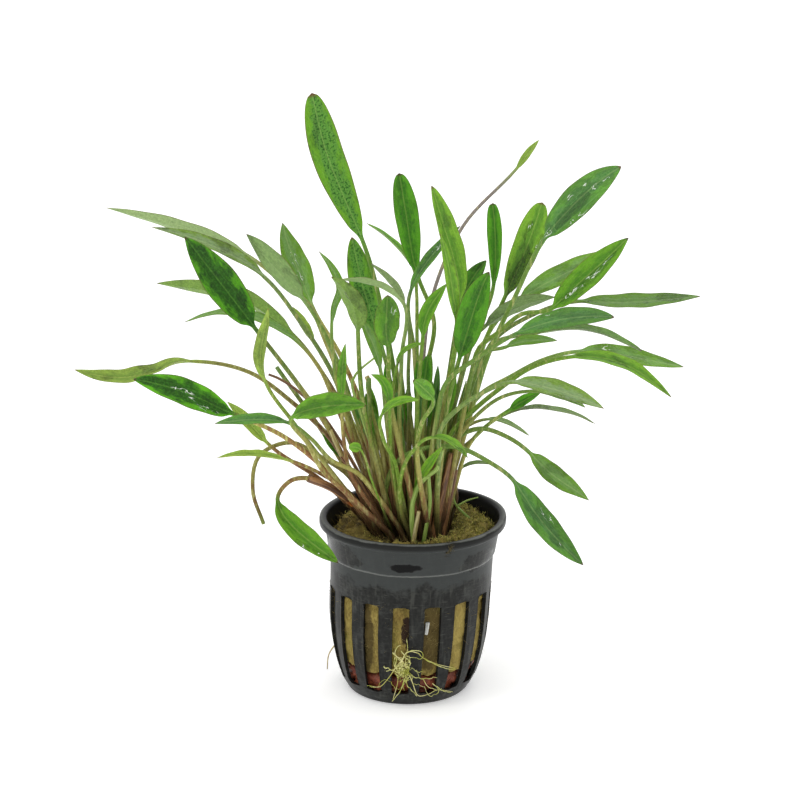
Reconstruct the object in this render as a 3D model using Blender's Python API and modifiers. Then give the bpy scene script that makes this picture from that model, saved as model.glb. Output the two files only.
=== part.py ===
"""A potted cryptocoryne: narrow aquarium plant leaves in a small net pot filled with wool.

The model is in metres, Z up. Its origin is the centre of the pot's underside, and its front faces
-Y. The lengths below are in millimetres, and MM turns them to metres.
"""
import math
from collections import namedtuple

import bmesh
import bpy
import numpy as np
from mathutils import Matrix, Vector, noise

MM = 0.001

# Net pot
POT_HEIGHT = 52.0
RIM_RADIUS = 27.0
LIP_HEIGHT = 2.3
LIP_FLAT = 1.5
LIP_ROUND = 0.65
COLLAR_RADIUS = 25.5
STEP_HEIGHT = 41.3
STEP_RADIUS = 24.3
STEP_FOOT_RADIUS = 23.7
BODY_RADIUS = 23.4
FOOT_RADIUS = 16.8
FOOT_CURVE = ((0.6, 17.7), (2.4, 18.9), (5.5, 20.2), (9.6, 21.4), (15.0, 22.4), (22.0, 23.1))
INNER_HEIGHTS = (4.0, 9.0, 16.0)
OUTER_HEIGHTS = (16.0, 8.0, 2.6, 0.6, 0.0)
WALL = 0.9
FLOOR_THICKNESS = 1.4
RIM_SHIFT = 1.5
POT_SIDES = 32
SHARP_ANGLE = 40
MERGE_DISTANCE = 0.01

# Slots round the pot, by angle from the front towards +X
SLOT_COUNT = 16
SLOT_FIRST_ANGLE = -7.1
SLOT_WIDTH_ANGLE = 12.2
SLOT_TOP = 32.0
SLOT_BOTTOM = 4.2
SLOT_CUT_DEPTH = 12.0
FLOOR_SLIT_COUNT = 8
FLOOR_SLIT_MIDDLE = 9.5
FLOOR_SLIT_LENGTH = 6.0
FLOOR_SLIT_WIDTH = 1.8
FLOOR_CUT_DEPTH = 4.0

# Filling of the pot
GAP = 0.35
WOOL_TOP = 48.5
WOOL_BOTTOM = 9.8
WOOL_CLEARANCE = 0.75
WOOL_EDGE = ((17.5, 0.0), (20.3, 0.8), (21.7, 2.8))
WOOL_FOOT_RADIUS = 19.6
WOOL_FOOT_BEVEL = (1.6, 0.5)
WOOL_SIDES = 20
CLAY_ROWS = ((1.8, 14.6), (3.3, 16.4), (5.0, 17.6), (7.0, 18.6), (8.6, 18.6), (9.15, 16.5))
CLAY_LUMP_SHARE = 0.09
CLAY_LUMP_SIZE = 3.0
CLAY_SIDES = 20
CROWN_CENTRE = (0.3, -0.5)
CROWN_RADIUS = 11.5
CROWN_TOP = 46.5
CROWN_DEPTH = 12.0
CROWN_BEVEL = (0.6, 0.7)
CROWN_SIDES = 16
POCKET_GAP = 0.7
POCKET_FLARE = 3.0
SHOOT_DEPTH = 1.5

# Roots, drawn on the upright plane, and the left one in the model's own frame
ROOT_RADIUS = 0.3
ROOT_CLEARANCE = 0.45
ROOT_KNOT = (-3.2, 4.4)
KNOT_CLEARANCE = 1.5
KNOT_TO_SLOT = (0.4, 3.2, -0.8)
ROOT_STRANDS = (
    ((-1.5, 7.0), (1.5, 6.6), (2.9, 5.2), (7.0, 3.2), (12.5, 1.8)),
    ((-4.2, 0.5), (-4.5, -3.0), (-5.8, -8.0)),
    ((-1.4, 1.0), (0.0, -3.0), (1.5, -6.7), (4.5, -6.4), (7.3, -5.0), (11.7, -5.6)),
    ((-5.0, 2.0), (-7.3, -1.5), (-9.7, -4.0), (-12.6, -3.7)),
    ((-5.2, 6.2), (-4.6, 8.4), (-3.6, 9.1)),
)
LEFT_ROOT = ((-20.2, 2.6, 10.6), (-21.6, 2.5, 10.0), (-23.2, 2.2, 7.2), (-23.6, 2.0, 3.0))

# Colours in linear RGB, and roughness
FINISHES = {
    "plastic": ((0.045, 0.048, 0.052), 0.42),
    "wool": ((0.27, 0.2, 0.06), 0.95),
    "clay": ((0.14, 0.035, 0.015), 0.9),
    "crown": ((0.1, 0.12, 0.03), 0.6),
    "root": ((0.62, 0.6, 0.3), 0.55),
    "leaf": ((0.06, 0.22, 0.025), 0.35),
}

# The upright drawing plane through the middle of the rim, and the eye that looks at it
EYE_DISTANCE = 800.0
EYE_TILT = 17.15
EYE_ACROSS = -3.75
EYE_HEIGHT = 84.0
PLANE_FOOT = 2.25

# Leaves
STALK_RADIUS = 0.88
STALK_TOP_RADIUS = 0.6
BARE_STALK_SHARE = 0.85
NARROW_STALK_SHARE = 0.55
FULL_STALK_BLADE = 5.0
BLADE_THICKNESS = 0.5
BLADE_FOLD = 0.22
BLADE_FOOT_POWER = 0.75
BLADE_TIP_POWER = 0.85
BLADE_WIDEST = 0.47
BLADE_LEAST_HALF = 0.22
TIP_HALF_WIDTH = 0.25
BLADE_PLACES = (0.0, 0.15, 0.36, 0.6, 0.83, 1.0)
YOUNG_BLADE_PLACES = (0.0, 0.2, 0.5, 0.8, 1.0)
YOUNG_WIDTH = 3.5
STATIONS_PER_RADIAN = 1.65
STATION_SPACING = 45.0
FOOT_SPACING = 2.35
FOOT_MARGIN = 0.4
FOOT_BACK_SHARE = 0.25
FOOT_LEAN_POWER = 1.5
DEPTH_POWER = 1.25
SPREAD_ROUNDS = 200
SPREAD_SHARE = 0.3
ROD_PLACES = (-0.8, -0.4, 0.0, 0.4, 0.8)
ROD_WIDTH_SHARE = 0.22
ROD_LEAST_RADIUS = 0.35
SETTLE_ROUNDS = 90
SETTLE_GAP = 0.55
FREE_HEIGHT = 62.0
FREE_FADE = 10.0
NEIGHBOUR_SHARE = 0.25
OWN_SHARE = 0.6

Leaf = namedtuple("Leaf", "name back width turn twist stalk blade")


def leaf(name, back, width, turn, stalk, blade, twist=0.0):
    """One leaf, drawn on the upright plane as points across and up, from low to high.

    back is how far its tip stands behind the plane, width is its blade's, and turn is the angle
    from a blade that faces the front to one that faces up.
    """
    return Leaf(name, back, width, turn, twist, stalk, blade)


LEFT_LEAVES = (
    leaf("leaf_left_01", 42, 4.6, 140, ((-27.5, 108), (-34, 115.5), (-40, 121.6)),
         ((-45.5, 125.7), (-55, 130.6), (-66, 134.5), (-77, 137.8), (-85.5, 140))),
    leaf("leaf_left_02", 20, 4.8, 40, ((-21.4, 88.4), (-26.4, 96.4), (-29.3, 101.7), (-34, 110.8)),
         ((-41.5, 119.8), (-48, 124.8), (-57, 129.3), (-65, 132.3), (-73, 134.5))),
    leaf("leaf_left_03", -22, 10.0, 18, ((-24, 75), (-29.7, 84), (-34.4, 91.2), (-39.4, 98.8)),
         ((-44.5, 105), (-48, 110), (-53.5, 117.5), (-59, 125), (-63.8, 131.6))),
    leaf("leaf_left_04", 52, 6.5, 135, ((-25, 91), (-29.5, 98)),
         ((-33, 102.3), (-42, 110.3), (-50, 114.2), (-60, 116.7), (-72, 118.3))),
    leaf("leaf_left_05", 34, 4.2, 50, ((-25, 90), (-29, 96.5)),
         ((-32.5, 101), (-40, 106.3), (-48, 109.3), (-56, 109.5), (-64.5, 107))),
    leaf("leaf_left_06", -8, 5.2, 80,
         ((-22, 70), (-28, 76.5), (-33, 82), (-39.5, 88), (-47, 92.5), (-55, 95)),
         ((-61, 95.4), (-67, 95.2), (-73, 92.7), (-79, 90.9), (-87, 90.8), (-96, 93)), twist=-80),
    leaf("leaf_left_07", -34, 8.0, 25, ((-22, 60.5), (-28.5, 66), (-33.5, 70.8), (-42, 76)),
         ((-50.5, 79.6), (-56, 82), (-63, 85.5), (-71, 88.3), (-79.3, 90.2))),
    leaf("leaf_left_08", -18, 3.6, 20, ((-23, 57), (-29, 62.8), (-34, 66.3), (-38.5, 69)),
         ((-41.6, 71.2), (-45, 75.1), (-49, 79.6), (-52.8, 83.5))),
    leaf("leaf_left_09", -30, 4.0, 40, ((-13.5, 59.5), (-18, 63), (-24, 66.5), (-30.5, 74)),
         ((-35.5, 77.2), (-42, 78.1), (-49, 77.9), (-56.5, 77))),
    leaf("leaf_left_10", -48, 7.4, 30, ((-20.5, 57.5), (-26, 63), (-29.5, 70), (-33.3, 76)),
         ((-34.6, 78.6), (-30.5, 80.8), (-25, 82), (-19, 82.5), (-13.2, 82.3))),
    leaf("leaf_left_11", -24, 3.2, 55, ((-18, 57), (-24, 60.5), (-28, 62.8), (-33, 65)),
         ((-36, 66.1), (-43, 67.4), (-50, 67.6), (-56, 66.8))),
    leaf("leaf_left_12", -32, 3.8, 30, ((-29, 70), (-35.5, 79.5), (-39.3, 85.5)),
         ((-41.8, 89.2), (-43.2, 95), (-42.6, 101), (-41.4, 106), (-40.8, 111))),
    leaf("leaf_left_13", 14, 7.0, 150, ((-20, 91), (-24, 100.5), (-28, 109)),
         ((-30.7, 113.3), (-34.5, 118), (-39, 123.5), (-43, 128.5), (-46.6, 132.5))),
    leaf("leaf_left_14", 30, 3.0, 30, ((-22, 90), (-26, 97.5)),
         ((-28, 101), (-30.7, 105.8), (-32.5, 109), (-33.9, 111.4))),
    leaf("leaf_left_15", 38, 7.6, 20, ((-20.5, 97), (-24, 104.5)),
         ((-28.6, 112), (-30.5, 117.5), (-33, 124), (-35.2, 130), (-36.5, 135.7))),
    leaf("leaf_left_16", -28, 2.8, 20, ((-18, 62), (-20, 75)),
         ((-20.3, 84), (-20.2, 90), (-19.8, 95.5), (-19.2, 100.7))),
    leaf("leaf_left_17", -24, 6.4, 20,
         ((-15, 51), (-17.5, 53.5), (-22, 57), (-27, 59.8), (-31.5, 60.7), (-35.5, 59.6),
          (-38.2, 57.2)),
         ((-38.9, 54.5), (-37.6, 49.8), (-34.2, 45.4), (-29.5, 41), (-25.3, 37.6), (-21.6, 34.7))),
)

MIDDLE_LEAVES = (
    leaf("leaf_middle_01", 8, 9.4, 12, ((-5.5, 95), (-8.5, 109), (-11.8, 119.5), (-13, 125)),
         ((-14, 130), (-17.3, 138), (-21.3, 148), (-25, 158.5), (-28, 172.3))),
    leaf("leaf_middle_02", 36, 8.2, 15, ((-5.5, 84), (-7.5, 94)),
         ((-8.6, 98.5), (-10.9, 106), (-13.3, 114), (-15.3, 122), (-17.2, 131.6))),
    leaf("leaf_middle_03", 30, 7.3, 18, ((3, 88), (5.4, 98), (5.9, 106), (4.7, 114)),
         ((1.2, 120.5), (-0.4, 127), (-1.6, 135), (-2.9, 143), (-4, 149.8))),
    leaf("leaf_middle_04", 46, 3.4, 65, ((1, 108), (0.8, 116)),
         ((0, 122.7), (-3.8, 127.9), (-7.9, 132.1), (-13, 135.6))),
    leaf("leaf_middle_05", -10, 6.8, 35, ((10.5, 90), (12, 100), (12.6, 107)),
         ((12.9, 112), (12.6, 119), (10.8, 127), (7.7, 137), (5, 146.2))),
    leaf("leaf_middle_06", -26, 3.6, 20, ((9.3, 86), (11, 97)),
         ((12.2, 107), (11.2, 114), (10.2, 121), (8.8, 127.5), (7.4, 132.6))),
    leaf("leaf_middle_07", 20, 3.8, 35, ((1.3, 88), (0.3, 98), (-0.8, 108)),
         ((-0.9, 115.5), (1.5, 120.8), (5, 126), (9, 130.5), (13, 134.8))),
    leaf("leaf_middle_08", 26, 2.4, 30,
         ((2.5, 92), (4, 104), (5.8, 117), (8, 124.7), (11.5, 131), (15, 136.3), (20, 141.6)),
         ((28.5, 151), (30.5, 153.7), (32.6, 156.5), (34.6, 159.2))),
    leaf("leaf_middle_09", -10, 3.0, 40, ((-20.5, 84), (-21.8, 92), (-22.6, 100)),
         ((-23, 106), (-22.4, 113), (-20.8, 119), (-23, 122.8), (-26.4, 127.5))),
    leaf("leaf_middle_10", -18, 3.4, 120, ((-4, 80), (-3.6, 92), (-2.8, 103), (-2.4, 109)),
         ((-3.6, 113.6), (-8.5, 117), (-14, 118.8), (-20.6, 119.4))),
    leaf("leaf_middle_11", -34, 6.4, 150, ((-13.6, 79), (-14.5, 90.5), (-15.3, 97.5)),
         ((-15.6, 104), (-15.9, 109), (-17.5, 113.5), (-20, 117.5), (-23, 120.2))),
    leaf("leaf_middle_12", -38, 7.2, 10, ((-6.3, 82), (-6.6, 92)),
         ((-7.1, 99.5), (-7.7, 104), (-7.6, 109), (-7.4, 112.5), (-7.2, 114.8))),
    leaf("leaf_middle_13", -22, 4.2, 25, ((1.2, 84), (1.8, 93)),
         ((2.7, 102.5), (3.2, 107), (5, 111.8), (9.4, 118.2))),
    leaf("leaf_middle_14", -34, 3.0, 35, ((-3.8, 58), (-5.5, 66.5), (-7.8, 70.3), (-9.4, 75.5)),
         ((-9.2, 79), (-6.8, 82), (-2.5, 84), (1.8, 83.9))),
    leaf("leaf_middle_15", -50, 4.6, 15, ((1.2, 66), (2.2, 76), (4.4, 82)),
         ((5.6, 84.2), (3.8, 86.6), (1.5, 88.7), (0, 89.8))),
    leaf("leaf_middle_16", -30, 3.2, 30, ((-6.2, 68), (-6.6, 76)),
         ((-6.8, 82), (-7.2, 86), (-8.8, 89.8), (-11.9, 91.6))),
    leaf("leaf_middle_17", -40, 3.2, 50, ((-3.9, 50), (-4, 56), (-3, 63), (-1, 67.5), (2, 71)),
         ((5, 72.8), (8.5, 72.6), (12, 70.5), (15.6, 66.8))),
    leaf("leaf_middle_18", -20, 3.0, 25, ((-1, 47), (-0.8, 52)),
         ((0.5, 57), (2.8, 61.7), (5.5, 66), (8.5, 70.2))),
)

RIGHT_LEAVES = (
    leaf("leaf_right_01", 28, 4.6, 20, ((14.5, 94), (18, 103.5), (21, 112)),
         ((22.4, 117), (22.9, 123), (22.9, 129), (22.7, 135), (22, 141.3))),
    leaf("leaf_right_02", 20, 8.4, 20, ((17.5, 95), (22, 106)),
         ((25.5, 113.8), (28.3, 120.3), (31.1, 127), (33.7, 134.5), (35.8, 141.5))),
    leaf("leaf_right_03", -6, 9.0, 18, ((22, 100), (28.5, 114.2), (32, 121.2), (34.5, 127)),
         ((36.3, 130.6), (40.3, 136.1), (45.2, 141.4), (50.7, 146.8), (57.5, 151.7))),
    leaf("leaf_right_04", 34, 7.4, 35, ((20, 100), (25, 108)),
         ((29, 112.9), (35.5, 117.2), (43, 121.3), (50, 124.5), (57, 128.2))),
    leaf("leaf_right_05", -12, 8.0, 25, ((18, 97.5), (24.5, 104.3), (31, 109.6), (36, 111.2)),
         ((38.4, 110.6), (42.5, 114.3), (48, 119.7), (54, 125.3), (60, 131.4))),
    leaf("leaf_right_06", 30, 6.6, 48, ((20, 96), (28, 105), (36, 110.5), (42, 112.6)),
         ((46, 113), (54, 112.8), (62, 112.7), (71, 113.5), (80.6, 114.5))),
    leaf("leaf_right_07", 12, 6.0, 135, ((15, 97), (17.5, 102.3)),
         ((20, 105.5), (24.5, 109), (30, 111.9), (35, 113.4), (39.8, 114.3))),
    leaf("leaf_right_08", -30, 7.0, 38, ((8, 85), (14, 92.5), (20, 98), (24.5, 101)),
         ((28.5, 103.3), (35, 106), (42, 107.7), (49, 108.6), (56.6, 108.4))),
    leaf("leaf_right_09", 10, 4.4, 62, ((19, 95), (28, 101.5)),
         ((34, 103.6), (41, 104.8), (48, 104.9), (55, 103), (64.6, 98.5))),
    leaf("leaf_right_10", -16, 3.8, 42, ((17, 93), (22, 97)),
         ((26, 99.6), (30, 101), (35, 101.6), (40.6, 101.6))),
    leaf("leaf_right_11", 24, 6.6, 42,
         ((15, 81.5), (20, 85.8), (26.2, 90), (33, 94.2), (40.6, 97.3)),
         ((46, 98.3), (53, 98.2), (60, 97.2), (68, 95.4), (76.6, 93.8))),
    leaf("leaf_right_12", -14, 5.2, 45,
         ((10, 72), (14.5, 77.5), (20.5, 84.8), (26.7, 88.7), (30.7, 92), (36.6, 95)),
         ((43.5, 96.6), (50, 96.8), (57, 95.5), (64, 92.2), (73.4, 84.8))),
    leaf("leaf_right_13", -30, 6.2, 40, ((8, 76), (12, 80.8), (17, 84.5), (22, 87.3)),
         ((28, 89.3), (35, 88.3), (42, 86.4), (48, 84.2), (54.2, 81.5))),
    leaf("leaf_right_14", -4, 3.4, 30, ((13, 62), (16, 70.5), (20, 76), (24, 79.3)),
         ((27.3, 81), (30, 82.8), (33, 84.6), (36, 86))),
    leaf("leaf_right_15", 8, 3.0, 65, ((11, 66), (15, 70), (19, 74.6), (24, 78.6)),
         ((29, 80.9), (35, 81.8), (41, 81), (47, 79.4), (51.8, 77))),
    leaf("leaf_right_16", -6, 6.0, 25,
         ((8, 67), (12, 72.4), (16, 75.1), (20, 75.4), (25, 73.9), (30, 71)),
         ((33, 68.5), (37, 64.2), (41, 60.6), (45.5, 57.6), (50.6, 53.8))),
    leaf("leaf_right_17", -26, 7.2, 18,
         ((-8, 52), (-7.5, 59), (-5.5, 64.5), (-1, 68), (4, 69.7), (10, 70.2), (15, 69.2),
          (20, 66.6), (24.5, 63.2)),
         ((28.5, 60.2), (31.6, 55.6), (35.3, 49.8), (40, 43.8), (44.6, 38.6), (49.3, 34))),
    leaf("leaf_right_18", 34, 5.6, 20, ((10.5, 94), (12.2, 103)),
         ((13, 110), (14.4, 115), (16.8, 120), (20.4, 124.9))),
    leaf("leaf_right_19", -26, 8.4, 15, ((10, 84), (11.8, 91)),
         ((13, 96), (14.8, 102.5), (16.8, 109.5), (18.8, 116), (21.2, 121.6))),
)

# Short leaves, stubs and bare stalks that grow from the crown, drawn in the same way
SMALL_SHOOTS = (
    leaf("bare_stalk_left", -16, 0, 0,
         ((-18, 60), (-24, 65), (-30, 69.3), (-36, 71.4), (-41, 70.3), (-44, 67.3), (-45.6, 62),
          (-46, 57), (-45, 51.5), (-43, 46.6)), ()),
    leaf("cut_stalk_left", -4, 0, 0, ((-24, 72), (-30.9, 82.7), (-35.3, 88.3), (-38.7, 93.7)), ()),
    leaf("cut_stalk_middle", -12, 0, 0, ((-11, 60), (-12, 72), (-12.4, 84), (-12.5, 90.3)), ()),
    leaf("young_leaf_01", -4, 3.0, 130, ((-1.5, 96), (-1.5, 106)),
         ((-2.5, 112), (-5, 117), (-8.3, 120.7), (-11.8, 124))),
    leaf("young_leaf_02", -16, 2.2, 50, ((-6.2, 80), (-5.2, 88)),
         ((-4.6, 94), (-3.6, 97), (-1, 99.6), (3.4, 100.9))),
    leaf("young_leaf_03", -26, 3.4, 25, ((-8.3, 84),),
         ((-9.3, 93), (-11, 99.5), (-13.2, 104.5), (-15.4, 109.2))),
    leaf("young_leaf_04", -12, 4.0, 20, ((2.5, 72), (3, 80)),
         ((3.2, 87), (3.4, 91), (3.9, 94.5), (4.1, 97.5))),
    leaf("young_leaf_05", -16, 3.2, 40, ((12, 70), (15.5, 76.5), (19, 80.2), (25, 84.8), (31, 86.3)),
         ((35, 86.6), (40, 85.8), (45, 84), (49, 81.8))),
    leaf("young_leaf_06", 2, 2.4, 55, ((9, 70), (13, 74.3), (17, 77.2)),
         ((20.5, 78.2), (24.5, 78), (29, 76), (33.2, 73.4))),
    leaf("young_leaf_07", 6, 1.6, 50, ((12.3, 52), (12.2, 57), (12.7, 61)),
         ((14, 63.8), (17, 65.1), (20, 65.2), (22.8, 64.8))),
)


def drawn_point(across, up, back):
    """Moves a point of the drawing plane along its sight line until it is `back` behind it."""
    tilt = math.radians(EYE_TILT)
    eye = np.array([EYE_ACROSS, -EYE_DISTANCE * math.cos(tilt),
                    EYE_HEIGHT + EYE_DISTANCE * math.sin(tilt)])
    on_plane = np.array([across, 0.0, up])
    reach = 1.0 - back / eye[1]
    return eye + (on_plane - eye) * reach + (RIM_SHIFT, 0.0, PLANE_FOOT)


def sight_direction():
    """The direction from the eye to the middle of the plant."""
    tilt = math.radians(EYE_TILT)
    return np.array([0.0, math.cos(tilt), -math.sin(tilt)])


def unit(vectors):
    """Vectors of length one, also for an array of them."""
    return vectors / np.maximum(np.linalg.norm(vectors, axis=-1, keepdims=True), 1e-9)


def foot_places(shoots):
    """Where each shoot leaves the crown, spread so that no two stand closer than a stalk allows."""
    reach = CROWN_RADIUS - STALK_RADIUS - FOOT_MARGIN
    places = []
    for shoot in shoots:
        across, up = shoot.stalk[0]
        lean = (CROWN_TOP / max(up, CROWN_TOP)) ** FOOT_LEAN_POWER
        places.append((across * lean + RIM_SHIFT, shoot.back * FOOT_BACK_SHARE))
    places = np.array(places) - CROWN_CENTRE
    for _ in range(SPREAD_ROUNDS):
        apart = places[:, None] - places[None, :]
        distance = np.linalg.norm(apart, axis=2) + 1e-6
        short = np.clip(FOOT_SPACING - distance, 0, None)
        np.fill_diagonal(short, 0)
        push = (apart / distance[..., None] * short[..., None]).sum(axis=1)
        places = places + push * SPREAD_SHARE
        too_far = np.maximum(np.linalg.norm(places, axis=1, keepdims=True) / reach, 1.0)
        places = places / too_far
    return places + CROWN_CENTRE


def curve_through(points, per_span=10):
    """Catmull-Rom curve through the points, and the running length at each of them."""
    padded = np.vstack([2 * points[0] - points[1], points, 2 * points[-1] - points[-2]])
    step = np.linspace(0, 1, per_span, endpoint=False)[:, None]
    pieces = []
    for p0, p1, p2, p3 in zip(padded, padded[1:], padded[2:], padded[3:]):
        pieces.append(0.5 * (2 * p1 + (p2 - p0) * step + (2 * p0 - 5 * p1 + 4 * p2 - p3) * step ** 2
                             + (3 * p1 - p0 - 3 * p2 + p3) * step ** 3))
    curve = np.vstack(pieces + [points[-1:]])
    length = np.concatenate([[0], np.cumsum(np.linalg.norm(np.diff(curve, axis=0), axis=1))])
    return curve, length, length[::per_span]


def stations(shoot, foot):
    """Centres of the shoot's cross-sections from foot to tip, and each one's place in the blade.

    The place is below 0 along the stalk and runs from 0 to 1 along the blade.
    """
    drawn = np.array(shoot.stalk + shoot.blade)
    seen_lower = foot[1] * math.tan(math.radians(EYE_TILT))
    start = np.array([foot[0] - RIM_SHIFT, CROWN_TOP - PLANE_FOOT - seen_lower])
    walked = np.cumsum(np.linalg.norm(np.diff(np.vstack([start, drawn]), axis=0), axis=1))
    depths = foot[1] + (shoot.back - foot[1]) * (walked / walked[-1]) ** DEPTH_POWER
    base = np.array([foot[0], foot[1], CROWN_TOP + GAP])
    points = [base] + [drawn_point(*place, depth) for place, depth in zip(drawn, depths)]
    curve, length, knots = curve_through(np.array(points))
    bends = np.diff(unit(np.diff(curve, axis=0)), axis=0)
    stalk_end = knots[len(shoot.stalk) + 1] if shoot.blade else length[-1]
    bending = np.linalg.norm(bends, axis=1)[length[1:-1] < stalk_end].sum()
    stalk_count = 2 + int(bending * STATIONS_PER_RADIAN) + int(stalk_end / STATION_SPACING)
    places = stalk_end * np.linspace(0, 1, stalk_count, endpoint=not shoot.blade)
    along = np.linspace(-1, 0, stalk_count, endpoint=False)
    if shoot.blade:
        steps = np.array(BLADE_PLACES if shoot.width > YOUNG_WIDTH else YOUNG_BLADE_PLACES)
        places = np.concatenate([places, stalk_end + (length[-1] - stalk_end) * steps])
        along = np.concatenate([along, steps])
    centres = np.stack([np.interp(places, length, curve[:, axis]) for axis in range(3)], axis=1)
    return centres, along


def frames(shoot, centres, along):
    """Directions along, across and out of the upper face at each station, turned with the path."""
    tangent = unit(np.gradient(centres, axis=0))
    middle = int(np.argmin(np.abs(along - 0.45))) if shoot.blade else len(along) // 2
    sight = sight_direction()
    facing = unit(tangent[middle] * (sight @ tangent[middle]) - sight)
    upward = np.cross(tangent[middle], facing)
    upward = upward if upward[2] > 0 else -upward
    turn = math.radians(shoot.turn)
    normal = np.zeros_like(centres)
    normal[middle] = facing * math.cos(turn) + upward * math.sin(turn)
    for first, last, step in ((middle + 1, len(centres), 1), (middle - 1, -1, -1)):
        for index in range(first, last, step):
            carried = normal[index - step]
            normal[index] = unit(carried - tangent[index] * (carried @ tangent[index]))
    across = np.cross(normal, tangent)
    angle = np.radians(shoot.twist) * np.clip(along, 0, 1)[:, None]
    turned_across = across * np.cos(angle) + normal * np.sin(angle)
    turned_normal = normal * np.cos(angle) - across * np.sin(angle)
    return tangent, turned_across, turned_normal


def half_widths(shoot, along):
    """Half the blade's width at each station: a long lens, widest a little before its middle."""
    place = np.clip(along, 0, 1)
    lens = place ** BLADE_FOOT_POWER * (1 - place) ** BLADE_TIP_POWER
    lens /= BLADE_WIDEST ** BLADE_FOOT_POWER * (1 - BLADE_WIDEST) ** BLADE_TIP_POWER
    return np.where(along > 0, np.maximum(lens * shoot.width / 2, BLADE_LEAST_HALF), 0.0)


def stalk_radii(shoot, along):
    """Radius of the stalk at each station, thinner towards the blade."""
    filled = min(1.0, shoot.width / FULL_STALK_BLADE)
    slim = NARROW_STALK_SHARE + (1 - NARROW_STALK_SHARE) * filled if shoot.blade else BARE_STALK_SHARE
    shrink = STALK_RADIUS + (STALK_TOP_RADIUS - STALK_RADIUS) * (np.clip(along, -1, 0) + 1)
    return shrink * slim


def runs_of(shoot, centres, along):
    """The shoot as round-ended rods: one row along the stalk and five side by side on the blade."""
    _, across, _ = frames(shoot, centres, along)
    half = half_widths(shoot, along)
    radius = stalk_radii(shoot, along)
    rows = []
    last = len(along) - 1
    for place in ROD_PLACES:
        line = centres + across * (half * place)[:, None]
        thick = np.where(along > 0, np.maximum(half * ROD_WIDTH_SHARE, ROD_LEAST_RADIUS), radius)
        for index in range(last):
            if along[index + 1] <= 0 and place != 0.0:
                continue
            rows.append((line[index], line[index + 1], max(thick[index], thick[index + 1]), index))
    return rows


def closest_places(a0, a1, b0, b1):
    """Where two sets of straight pieces come nearest, as shares of each piece's length."""
    da, db, gap = a1 - a0, b1 - b0, a0 - b0
    aa, bb, ab = (da * da).sum(1), (db * db).sum(1), (da * db).sum(1)
    ga, gb = (da * gap).sum(1), (db * gap).sum(1)
    spread = np.maximum(aa * bb - ab * ab, 1e-9)
    on_a = np.clip((ab * gb - ga * bb) / spread, 0, 1)
    on_b = np.clip((ab * on_a + gb) / np.maximum(bb, 1e-9), 0, 1)
    on_a = np.clip((ab * on_b - ga) / np.maximum(aa, 1e-9), 0, 1)
    return on_a, on_b


def settle(shoots):
    """Stations of every shoot, moved apart along the sight lines until none touches another.

    Low down, where the stalks crowd on the crown, they move apart in any level direction.
    """
    paths = [stations(shoot, foot) for shoot, foot in zip(shoots, foot_places(shoots))]
    centres = [path[0] for path in paths]
    sight = sight_direction()
    for _ in range(SETTLE_ROUNDS):
        rods = [(number, row) for number, shoot in enumerate(shoots)
                for row in runs_of(shoot, centres[number], paths[number][1])]
        owner = np.array([number for number, _ in rods])
        start = np.array([row[0] for _, row in rods])
        end = np.array([row[1] for _, row in rods])
        thick = np.array([row[2] for _, row in rods])
        index = np.array([row[3] for _, row in rods])
        low = np.minimum(start, end) - thick[:, None] - SETTLE_GAP
        high = np.maximum(start, end) + thick[:, None] + SETTLE_GAP
        near = np.ones((len(rods), len(rods)), bool)
        for axis in range(3):
            near &= low[:, None, axis] < high[None, :, axis]
            near &= low[None, :, axis] < high[:, None, axis]
        near &= owner[:, None] < owner[None, :]
        first, second = np.nonzero(near)
        on_a, on_b = closest_places(start[first], end[first], start[second], end[second])
        point_a = start[first] + (end[first] - start[first]) * on_a[:, None]
        point_b = start[second] + (end[second] - start[second]) * on_b[:, None]
        apart = point_a - point_b
        distance = np.linalg.norm(apart, axis=1)
        needed = thick[first] + thick[second] + SETTLE_GAP
        touch = distance < needed
        if not touch.any():
            break
        first, second, on_a, on_b = first[touch], second[touch], on_a[touch], on_b[touch]
        apart, distance, needed = apart[touch], distance[touch], needed[touch]
        height = point_a[touch, 2]
        depth = apart @ sight
        pair = owner[first] * len(shoots) + owner[second]
        side = np.zeros(len(shoots) ** 2)
        np.add.at(side, pair, depth)
        side = np.where(side >= 0, 1.0, -1.0)[pair]
        aside = np.clip(distance ** 2 - depth ** 2, 0, None)
        slide = side * np.sqrt(np.clip(needed ** 2 - aside, 0, None)) - depth
        free = np.clip((FREE_HEIGHT - height) / FREE_FADE, 0, 1)[:, None]
        level = apart * (1, 1, 0.1)
        push = unit(level) * (needed - distance)[:, None] * free
        push = push + sight * slide[:, None] * (1 - free)
        moved = [np.zeros_like(path) for path in centres]
        weight = [np.full(len(path), 1e-6) for path in centres]
        for rod, share, sign in ((first, on_a, 0.5), (second, on_b, -0.5)):
            for number, station, part, shift in zip(owner[rod], index[rod], share, push * sign):
                moved[number][station] += shift * (1 - part)
                moved[number][station + 1] += shift * part
                weight[number][station] += (1 - part)
                weight[number][station + 1] += part
        for number, path in enumerate(centres):
            shift = moved[number] / np.maximum(weight[number], 0.5)[:, None]
            ends = np.vstack([shift[:1], shift, shift[-1:]])
            shift = OWN_SHARE * shift + NEIGHBOUR_SHARE * (ends[:-2] + ends[2:])
            shift[0, 2] = 0.0
            centres[number] = path + shift
            from_middle = centres[number][0, :2] - CROWN_CENTRE
            outside = max(1.0, float(np.linalg.norm(from_middle)) / (CROWN_RADIUS - STALK_RADIUS))
            centres[number][0, :2] = from_middle / outside + CROWN_CENTRE
    return [(path, along) for path, (_, along) in zip(centres, paths)]


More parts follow.
